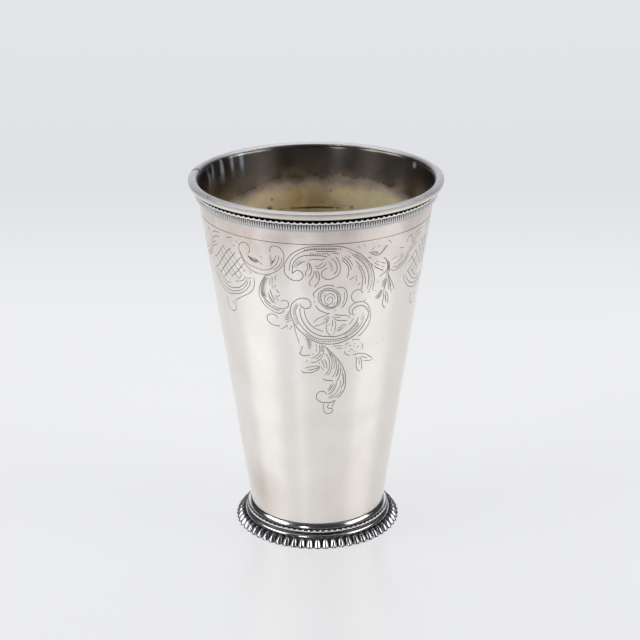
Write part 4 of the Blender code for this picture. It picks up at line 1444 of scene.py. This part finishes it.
def wearLip(piece, outer, high):
    rng = random.Random(4)
    fromEdge, fromTop = lip["nickFrom"]
    for vertex in piece.data.vertices:
        turn = turnOf(vertex.co) % 360
        radius = radiusOf(vertex.co)
        offSeam = abs(turn - lip["seamAt"])
        if offSeam < lip["sunkHalf"] and radius > outer - lip["sunkFrom"]:
            share = 1 - offSeam / lip["sunkHalf"]
            vertex.co.z -= lip["sunkDepth"] * mm * share
            vertex.co.x *= 1 - lip["sunkIn"] * share
            vertex.co.y *= 1 - lip["sunkIn"] * share
        offNick = abs(turn - lip["nickAt"])
        inward = radius < outer - fromEdge and vertex.co.z / mm > high - fromTop
        if offNick < lip["nickHalf"] and inward:
            push = rng.uniform(*lip["nickPush"]) * mm * (1 - offNick / lip["nickHalf"])
            vertex.co.x -= push * math.cos(math.radians(turn))
            vertex.co.y -= push * math.sin(math.radians(turn))
            vertex.co.z -= push * lip["nickSink"]


def lipMoulding():
    outer, low, high = span("lip_moulding")
    seat = outerRadius(wallTop - beaker["topUnderLip"]) + lip["gap"]
    underIn, underUp = lip["under"]
    outline = [(outer + out, high + up) for out, up in lip["section"]]
    outline += [(outer + underIn, low + underUp), (outerRadius(low) + lip["gap"], low + underUp)]
    outline += [(seat, outline[0][1])]
    piece = drawSection("lipMoulding", outline)
    spinWhole(piece, lip["steps"])
    wearLip(piece, outer, high)

    # painted shade on the underside, and the dark solder seam
    def recessRule(co):
        down, inwards = lip["darkUnder"]
        under = 1.0 if high - co.z / mm > down and radiusOf(co) < outer - inwards else 0.0
        return max(under, lip["seamDark"] * aroundLip(co, lip["seamAt"], lip["seamHalf"]))

    def yellowed(co):
        return aroundLip(co, lip["yellowAt"], lip["yellowHalf"])

    def tintRule(co):
        start, end = lip["flatBand"]
        flatBand = 1.0 if start < high - co.z / mm < end else 0.0
        seam = lip["seamDark"] * aroundLip(co, lip["seamAt"], 2 * lip["seamHalf"])
        return max(flatBand, seam, lip["yellowTint"] * yellowed(co))

    # painted reflection: the top of the lip tinted cool, less so on the yellowed side
    def coolRule(co):
        return 1 - lip["yellowWarm"] * yellowed(co) if high - co.z / mm < lip["coolTop"] else 0.0

    paint(piece, "recess", recessRule)
    paint(piece, "tinted", tintRule)
    paint(piece, "coolReflection", coolRule)
    smooth(piece, lip["smoothUnder"])
    return piece


settle(lipMoulding(), "lip_moulding", lipFinish)


# each wire shows as a row of points, one wave to each lobe of its twist

lipWire = {
    "place": (43.50, 130.45),  # radius and height of its middle
    "waves": 130,
    "steps": 8,
    "rise": 0.54,  # from the hollows up to the points
    "underRise": 0.16,
    "section": [(0.37, -0.24), (0.40, 0.0), (0.43, 0.18), (0.36, 0.27), (0.10, 0.27), (-0.30, 0.2),
                (-0.30, -0.26), (0.20, -0.30)],
}

footWire = {
    "place": (26.40, 5.12),
    "waves": 78,
    "steps": 12,
    "rise": 0.50,
    "underRise": 0.12,
    "section": [(0.44, -0.24), (0.42, -0.05), (0.37, 0.14), (0.28, 0.22), (0.05, 0.22), (-0.30, 0.2),
                (-0.30, -0.26), (0.25, -0.30)],
}

wirePoints = {
    "curve": 1.8,  # sharpness of the points
    "upperFrom": 0.1,  # above the wire's middle
    "darkIn": 0.2,  # painted shade on the wire's back: dark up to this far outside the wire's middle
    "smoothUnder": 45,
}


def pointedWire(name, look):
    ringRadius, height = look["place"]
    piece = drawSection(name, [(ringRadius + out, height + up) for out, up in look["section"]])
    sector = 360 / look["waves"]
    spinSection(piece, look["steps"], sector)
    for vertex in piece.data.vertices:
        offMiddle = abs(2 * abs(turnOf(vertex.co)) / sector - 1)
        upper = vertex.co.z / mm > height + wirePoints["upperFrom"]
        rise = look["rise"] if upper else look["underRise"]
        vertex.co.z += rise * offMiddle ** wirePoints["curve"] * mm
    repeatRound(piece, look["waves"])
    # painted shade on the back of the wire, where the lip and the wall shadow it
    paint(piece, "recess", lambda co: 1.0 if radiusOf(co) < ringRadius + wirePoints["darkIn"] else 0.0)
    smooth(piece, wirePoints["smoothUnder"])
    return piece


settle(pointedWire("lipTwistWire", lipWire), "lip_twist_wire", fluteFinish)
settle(pointedWire("footTwistWire", footWire), "foot_twist_wire", wireFinish)


# upright flutes under the lip wire

flutes = {
    "count": 294,
    "steps": 6,
    "smoothUnder": 50,
    "crestBack": 0.07,  # inside the CAD band's radius
    "edgeRound": (0.28, 0.28),
    "edgeDrop": 0.3,
    "backIn": 0.1,  # the back sits in the wall
    "depth": 0.40,
    "curve": 2.4,
    "frontBack": 0.3,  # how far behind the crest a flute still reaches
    "darkFrom": 0.45,  # painted shade in the valleys: share of the way from a flute's middle to its valley
    "darkOver": 0.4,
    "topDark": 0.01,  # painted shade under the wire: below the top
}


def flutedBand():
    outer, low, high = span("fluted_band")
    crest = outer - flutes["crestBack"]
    edgeMiddle = crest - flutes["edgeRound"][0]
    outline = [(coneRadius(high) - flutes["backIn"], high), (crest - 0.25, high - 0.02)]
    outline += arc((edgeMiddle, high - flutes["edgeDrop"]), flutes["edgeRound"], 62, 0, 3)
    outline += [(crest, low + 0.35)]
    outline += arc((edgeMiddle, low + flutes["edgeDrop"]), flutes["edgeRound"], -10, -75, 3)
    outline += [(coneRadius(low) - flutes["backIn"], low)]
    piece = drawSection("flutedBand", outline)
    sector = 360 / flutes["count"]
    spinSection(piece, flutes["steps"], sector)

    def fromMiddle(turn):  # 0 at a flute's middle, 1 in the valley
        return abs(turn - sector / 2) / (sector / 2)

    for vertex in piece.data.vertices:
        radius = radiusOf(vertex.co)
        if radius > crest - flutes["frontBack"]:
            off = min(1.0, fromMiddle(abs(turnOf(vertex.co))))
            share = 1 - flutes["depth"] * off ** flutes["curve"] / radius
            vertex.co.x *= share
            vertex.co.y *= share
    repeatRound(piece, flutes["count"])

    # painted shade in the valleys between flutes, and along the top under the wire
    def recessRule(co):
        off = fromMiddle(abs(turnOf(co)) % sector)
        valley = max(0.0, off - flutes["darkFrom"]) / flutes["darkOver"]
        return min(1.0, valley) if co.z / mm < high - flutes["topDark"] else 1.0

    paint(piece, "recess", recessRule)
    smooth(piece, flutes["smoothUnder"])
    return piece


settle(flutedBand(), "fluted_band", fluteFinish)


# the foot: a bevelled collar, a bevelled moulding in a cove with painted shade, and the gadrooned border

bevelEdges = {
    "upper": [(78, 0.08), (64, 0.08), (51, 0.08)],  # lean in degrees and length of each step
    "lower": [(14, 0.07), (0, 0.07), (-18, 0.07)],
    "faceSteps": 9,
}


def bevelFace(start, bevel):  # a nearly flat face with rounded edges, drawn downwards
    top, bottom, length = bevel
    count = bevelEdges["faceSteps"]
    face = [(top + (bottom - top) * i / (count - 1), length / count) for i in range(count)]
    points = [start]
    for lean, reach in bevelEdges["upper"] + face + bevelEdges["lower"]:
        radius, height = points[-1]
        angle = math.radians(lean)
        points.append((radius + reach * math.sin(angle), height - reach * math.cos(angle)))
    return points


collar = {
    "steps": 288,
    "smoothUnder": 40,
    "bevel": (42, 26, 1.55),  # lean at the top and at the bottom, in degrees, and length of the face
    "faceStart": (0.10, 0.02),  # from the wall and from the top
    "solderRise": 0.06,  # up the wall
    "underIn": 0.1,
    "grip": 0.02,  # into the wall
    "jointDark": 0.06,  # below the top
    "underDark": (0.22, 0.12),  # painted shade under the collar: where the dark starts above the bottom, and how fast it deepens
}


def footCollar():
    _, low, high = span("foot_collar")
    startOut, startUp = collar["faceStart"]
    outline = [(coneRadius(high) - collar["grip"], high + collar["solderRise"])]
    outline += bevelFace((coneRadius(high) + startOut, high + startUp), collar["bevel"])
    outline += [(outline[-1][0] - collar["underIn"], low), (coneRadius(low) - collar["grip"], low)]
    piece = drawSection("footCollar", outline)
    spinWhole(piece, collar["steps"])

    # a dark joint at the top, and painted shade towards the underside
    def recessRule(co):
        joint = 1.0 if co.z / mm > high - collar["jointDark"] else 0.0
        start, over = collar["underDark"]
        return max(joint, min(1.0, (low + start - co.z / mm) / over))

    paint(piece, "recess", recessRule)
    smooth(piece, collar["smoothUnder"])
    return piece


settle(footCollar(), "foot_collar", footFinish)


moulding = {
    "steps": 288,
    "smoothUnder": 36,
    "bevel": (39, 21, 0.72),
    "coveIn": 0.66,  # the cove's outer end, inwards from the edge
    "cove": [(-0.55, 0.02), (-0.36, -0.10), (-0.20, -0.32), (-0.09, -0.56), (-0.02, -0.72)],
    "coveDepth": 0.74,
    "backGap": 0.3,
    "toe": (0.2, 0.24),  # inwards from the edge, and below the CAD ring
    # painted shade in the cove
    "coveDark": 0.92,
    "darkPast": 0.03,  # past the cove's outer end
    "tintBelow": 0.06,
}


def footMoulding():
    outer, low, high = span("foot_moulding")
    inner = coneRadius(low) + moulding["backGap"]
    cove = outer - moulding["coveIn"]
    toeIn, toeDown = moulding["toe"]
    outline = [(inner, low), (inner, high)]
    outline += [(cove + out, high + up) for out, up in moulding["cove"]]
    outline += bevelFace((cove, high - moulding["coveDepth"]), moulding["bevel"])
    outline += [(outer - toeIn, low - toeDown)]
    piece = drawSection("footMoulding", outline)
    spinWhole(piece, moulding["steps"])

    # painted shade in the cove
    def recessRule(co):
        return moulding["coveDark"] if radiusOf(co) < cove + moulding["darkPast"] else 0.0

    paint(piece, "recess", recessRule)
    paint(piece, "tinted", lambda co: 1.0 if co.z / mm < low + moulding["tintBelow"] else 0.0)
    smooth(piece, moulding["smoothUnder"])
    return piece


settle(footMoulding(), "foot_moulding", footFinish)


gadroons = {
    "count": 62,
    "smoothUnder": 55,
    "lobeSteps": 14,
    "dartSteps": 2,  # half of the narrow dart between two lobes
    "dartHeight": 0.12,
    "lobeShare": (0.60, 0.90),  # of the spacing, at the inner end and at the outer edge
    "ridge": (0.35, 0.78),  # half width of a lobe's rounded ridge, and how fast it falls
    "flank": (0.8, 0.904, 0.545),  # where the straight flank ends, its height at the ridge, and its slope
    "flankEnd": 0.659,  # height from which the edge turns down
    "crest": [(27.2, 2.62), (27.78, 2.74), (28.24, 3.08), (28.65, 3.03), (29.05, 2.84), (29.42, 2.53),
              (29.75, 2.17), (30.1, 1.75), (30.45, 1.30), (30.78, 0.85), (31.0, 0.50), (31.08, 0.30),
              (31.11, 0.14), (31.06, 0.0)],
    "valley": [(27.2, 2.60), (27.78, 2.20), (27.85, 2.12), (28.0, 2.03), (28.15, 1.92), (28.4, 1.60),
               (28.72, 1.20), (29.05, 0.80), (29.38, 0.42), (29.66, 0.14), (29.7, 0.10), (29.72, 0.07),
               (29.72, 0.03), (29.68, 0.0)],
    "under": [(29.3, 0.0), (27.5, 0.0), (27.2, 0.5), (26.4, 1.3), (23.6, 1.3), (23.3, 1.5), (23.3, 2.6),
              (26.5, 2.7)],  # the hollow underneath
    "edgePoints": 4,  # points at the outer edge, where the lobes have their full share
    "innerDark": (0.85, 29.25, 0.4),  # painted shade on the lobes' inner ends: how dark, inside which radius, and over what width it fades
    "footClean": 0.02,  # no dark this close to the floor
    "dartDark": (0.76, 0.08),  # painted shade in the valleys: share of the half spacing where it starts, and over what share it deepens
}


def flankHeight(across):  # a lobe's section, like a roof with a rounded ridge
    ridge, fall = gadroons["ridge"]
    end, start, slope = gadroons["flank"]
    if across < ridge:
        return 1 - fall * across ** 2
    if across < end:
        return start - slope * (across - ridge)
    return gadroons["flankEnd"] * math.sqrt((1 - across) / (1 - end))


def lobePlace(step, share):  # across the spacing from -1 to 1, and height from 0 in the valley to 1
    inner, edge = gadroons["lobeShare"]
    half = inner + (edge - inner) * share
    darts = gadroons["dartSteps"]
    last = gadroons["lobeSteps"] + 2 * darts
    if step <= darts or step >= last - darts:
        angle = math.pi / 2 * min(step, last - step) / darts
        across = 1 - (1 - half) * math.sin(angle)
        return (-across if step <= darts else across), gadroons["dartHeight"] * math.cos(angle)
    across = 2 * (step - darts) / gadroons["lobeSteps"] - 1
    return half * across, flankHeight(abs(across))


def shapeLobe(piece, sector, steps):  # moves each point of the plain sector between crest and valley
    rows = list(zip(gadroons["crest"], gadroons["valley"]))
    for vertex in piece.data.vertices:
        radius = radiusOf(vertex.co)
        turn = turnOf(vertex.co)
        step = round(abs(turn) / sector * steps)
        height = vertex.co.z / mm
        for i, ((crestR, crestZ), (valleyR, valleyZ)) in enumerate(rows):
            if abs(radius - crestR) < 1e-3 and abs(height - crestZ) < 1e-3:
                across, share = lobePlace(step, min(1.0, i / (len(rows) - gadroons["edgePoints"])))
                newTurn = math.copysign(math.radians(sector * (across + 1) / 2), turn)
                newRadius = (valleyR + (crestR - valleyR) * share) * mm
                newHeight = (valleyZ + (crestZ - valleyZ) * share) * mm
                vertex.co = (newRadius * math.cos(newTurn), newRadius * math.sin(newTurn), newHeight)
                break


def gadroonBorder():
    low = span("gadroon_border")[1]
    sector = 360 / gadroons["count"]
    steps = gadroons["lobeSteps"] + 2 * gadroons["dartSteps"]
    under = [(radius, low + up) for radius, up in gadroons["under"]]
    piece = drawSection("gadroonBorder", gadroons["crest"] + under)
    spinSection(piece, steps, sector)
    shapeLobe(piece, sector, steps)
    repeatRound(piece, gadroons["count"])

    # painted shade on the lobes' inner ends and in the valleys between them
    def recessRule(co):
        if co.z / mm < low + gadroons["footClean"]:
            return 0.0
        dark, inside, fade = gadroons["innerDark"]
        start, over = gadroons["dartDark"]
        across = abs(2 * (turnOf(co) % sector) / sector - 1)
        inner = dark * min(1.0, (inside - radiusOf(co)) / fade)
        return max(0.0, inner, min(1.0, (across - start) / over))

    paint(piece, "recess", recessRule)
    smooth(piece, gadroons["smoothUnder"])
    return piece


settle(gadroonBorder(), "gadroon_border", footFinish)
print("pieces made")


# floor, light and camera

studio = {
    "floorSize": 12,
    "floorNear": (0.985, 0.99, 1.0),
    "floorFar": (0.665, 0.675, 0.70),
    "floorFront": (0.42, 0.41, 0.40),
    "farFade": (0.15, 0.47),
    "frontFade": (-0.36, -0.75),
    "glow": (0.56, 0.85),  # share of the floor's tone that shadow does not reach, near and far
    "floorRough": 0.3,  # a smooth white board
    "floorShine": 1.0,
    "room": (0.045, 0.047, 0.053),
    "backdrop": (0.66, 0.67, 0.71),
    "backdropEdge": (0.72, 0.94),  # how far ahead the backdrop starts and is full
}

softboxes = {  # place, aim, size, radiance and colour
    "overhead": ((0, 0.35, 1.40), (0, 0.30, 0), (2.4, 1.8), 0.80, (0.98, 0.985, 1)),
    "leftSide": ((-0.80, -0.22, 0.53), (0, 0, 0.06), (0.66, 0.28), 3.5, (1, 1, 1)),
    "rightSide": ((0.80, -0.22, 0.53), (0, 0, 0.06), (0.66, 0.28), 2.85, (1, 1, 1)),
    "smallFront": ((-0.31, -0.76, 0.43), (0, 0, 0.06), (0.13, 0.20), 5.0, (0.90, 0.95, 1)),
}


def easeBetween(tree, value, low, high):
    inputs = {"Value": value, "From Min": low, "From Max": high}
    return addNode(tree, "ShaderNodeMapRange", inputs, interpolation_type="SMOOTHSTEP").outputs["Result"]


def paleFloor():
    clearSelection()
    bpy.ops.mesh.primitive_plane_add(size=studio["floorSize"])
    floor = bpy.context.object
    floor.name = "floor"
    finish, tree, shader = newFinish("paleFloor")
    place = addNode(tree, "ShaderNodeTexCoord").outputs["Object"]
    depth = addNode(tree, "ShaderNodeSeparateXYZ", {"Vector": place}).outputs["Y"]
    away = easeBetween(tree, depth, *studio["farFade"])
    tone = blend(tree, away, studio["floorNear"], studio["floorFar"])
    tone = blend(tree, easeBetween(tree, depth, *studio["frontFade"]), tone, studio["floorFront"])
    path = addNode(tree, "ShaderNodeLightPath")
    seen = larger(tree, path.outputs["Is Camera Ray"], path.outputs["Is Glossy Ray"])
    seen = larger(tree, seen, path.outputs["Is Transmission Ray"])
    share = times(tree, seen, remap(tree, away, 0.0, 1.0, *studio["glow"]))
    tree.links.new(blend(tree, share, tone, (0, 0, 0)), shader.inputs["Base Color"])
    tree.links.new(tone, shader.inputs["Emission Color"])
    tree.links.new(share, shader.inputs["Emission Strength"])
    shader.inputs["Roughness"].default_value = studio["floorRough"]
    shader.inputs["Specular IOR Level"].default_value = studio["floorShine"]
    floor.data.materials.append(finish)


def softbox(name, place, aim, size, radiance, colour):
    lamp = bpy.data.lights.new(name, "AREA")
    lamp.shape = "RECTANGLE"
    lamp.size, lamp.size_y = size
    lamp.energy = radiance * math.pi * size[0] * size[1]
    lamp.color = colour
    holder = bpy.data.objects.new(name, lamp)
    holder.location = place
    holder.rotation_euler = (Vector(aim) - Vector(place)).to_track_quat("-Z", "Y").to_euler()
    holder.visible_camera = False
    bpy.context.collection.objects.link(holder)


def roomLight():
    world = bpy.context.scene.world or bpy.data.worlds.new("room")
    bpy.context.scene.world = world
    world.use_nodes = True
    tree = world.node_tree
    toward = addNode(tree, "ShaderNodeTexCoord").outputs["Generated"]
    ahead = addNode(tree, "ShaderNodeSeparateXYZ", {"Vector": toward}).outputs["Y"]
    tone = blend(tree, easeBetween(tree, ahead, *studio["backdropEdge"]), studio["room"], studio["backdrop"])
    tree.links.new(tone, tree.nodes["Background"].inputs["Color"])
    tree.nodes["Background"].inputs["Strength"].default_value = 1.0


paleFloor()
roomLight()
for name, look in softboxes.items():
    softbox(name, *look)

view = {
    "aimHeight": 0.079076,
    "distance": 0.688845,
    "pitch": 20.972,
    "roll": -0.223,
    "sensor": 36,
    "focal": 1860.735,  # pixels on the 640 pixel frame
    "frame": 640,
    "aimLeft": 3.35,  # pixels from the frame's middle
}


def photoCamera():
    lens = bpy.data.cameras.new("photoCamera")
    lens.sensor_width = view["sensor"]
    lens.sensor_fit = "HORIZONTAL"
    lens.lens = view["focal"] / view["frame"] * lens.sensor_width
    lens.shift_x = view["aimLeft"] / view["frame"]
    lens.clip_start = 0.01
    camera = bpy.data.objects.new("photoCamera", lens)
    bpy.context.collection.objects.link(camera)
    pitch = math.radians(view["pitch"])
    roll = math.radians(view["roll"])
    ahead = Vector((0, math.cos(pitch), -math.sin(pitch)))
    right = Vector((1, 0, 0))
    up = right.cross(ahead)
    across = right * math.cos(roll) + up * math.sin(roll)
    upright = up * math.cos(roll) - right * math.sin(roll)
    turned = Matrix((across, upright, -ahead)).transposed().to_4x4()
    spot = Vector((0, 0, view["aimHeight"])) - ahead * view["distance"]
    camera.matrix_world = Matrix.Translation(spot) @ turned
    bpy.context.scene.camera = camera


photoCamera()
bpy.context.scene.view_settings.view_transform = "Standard"
print("studio ready")
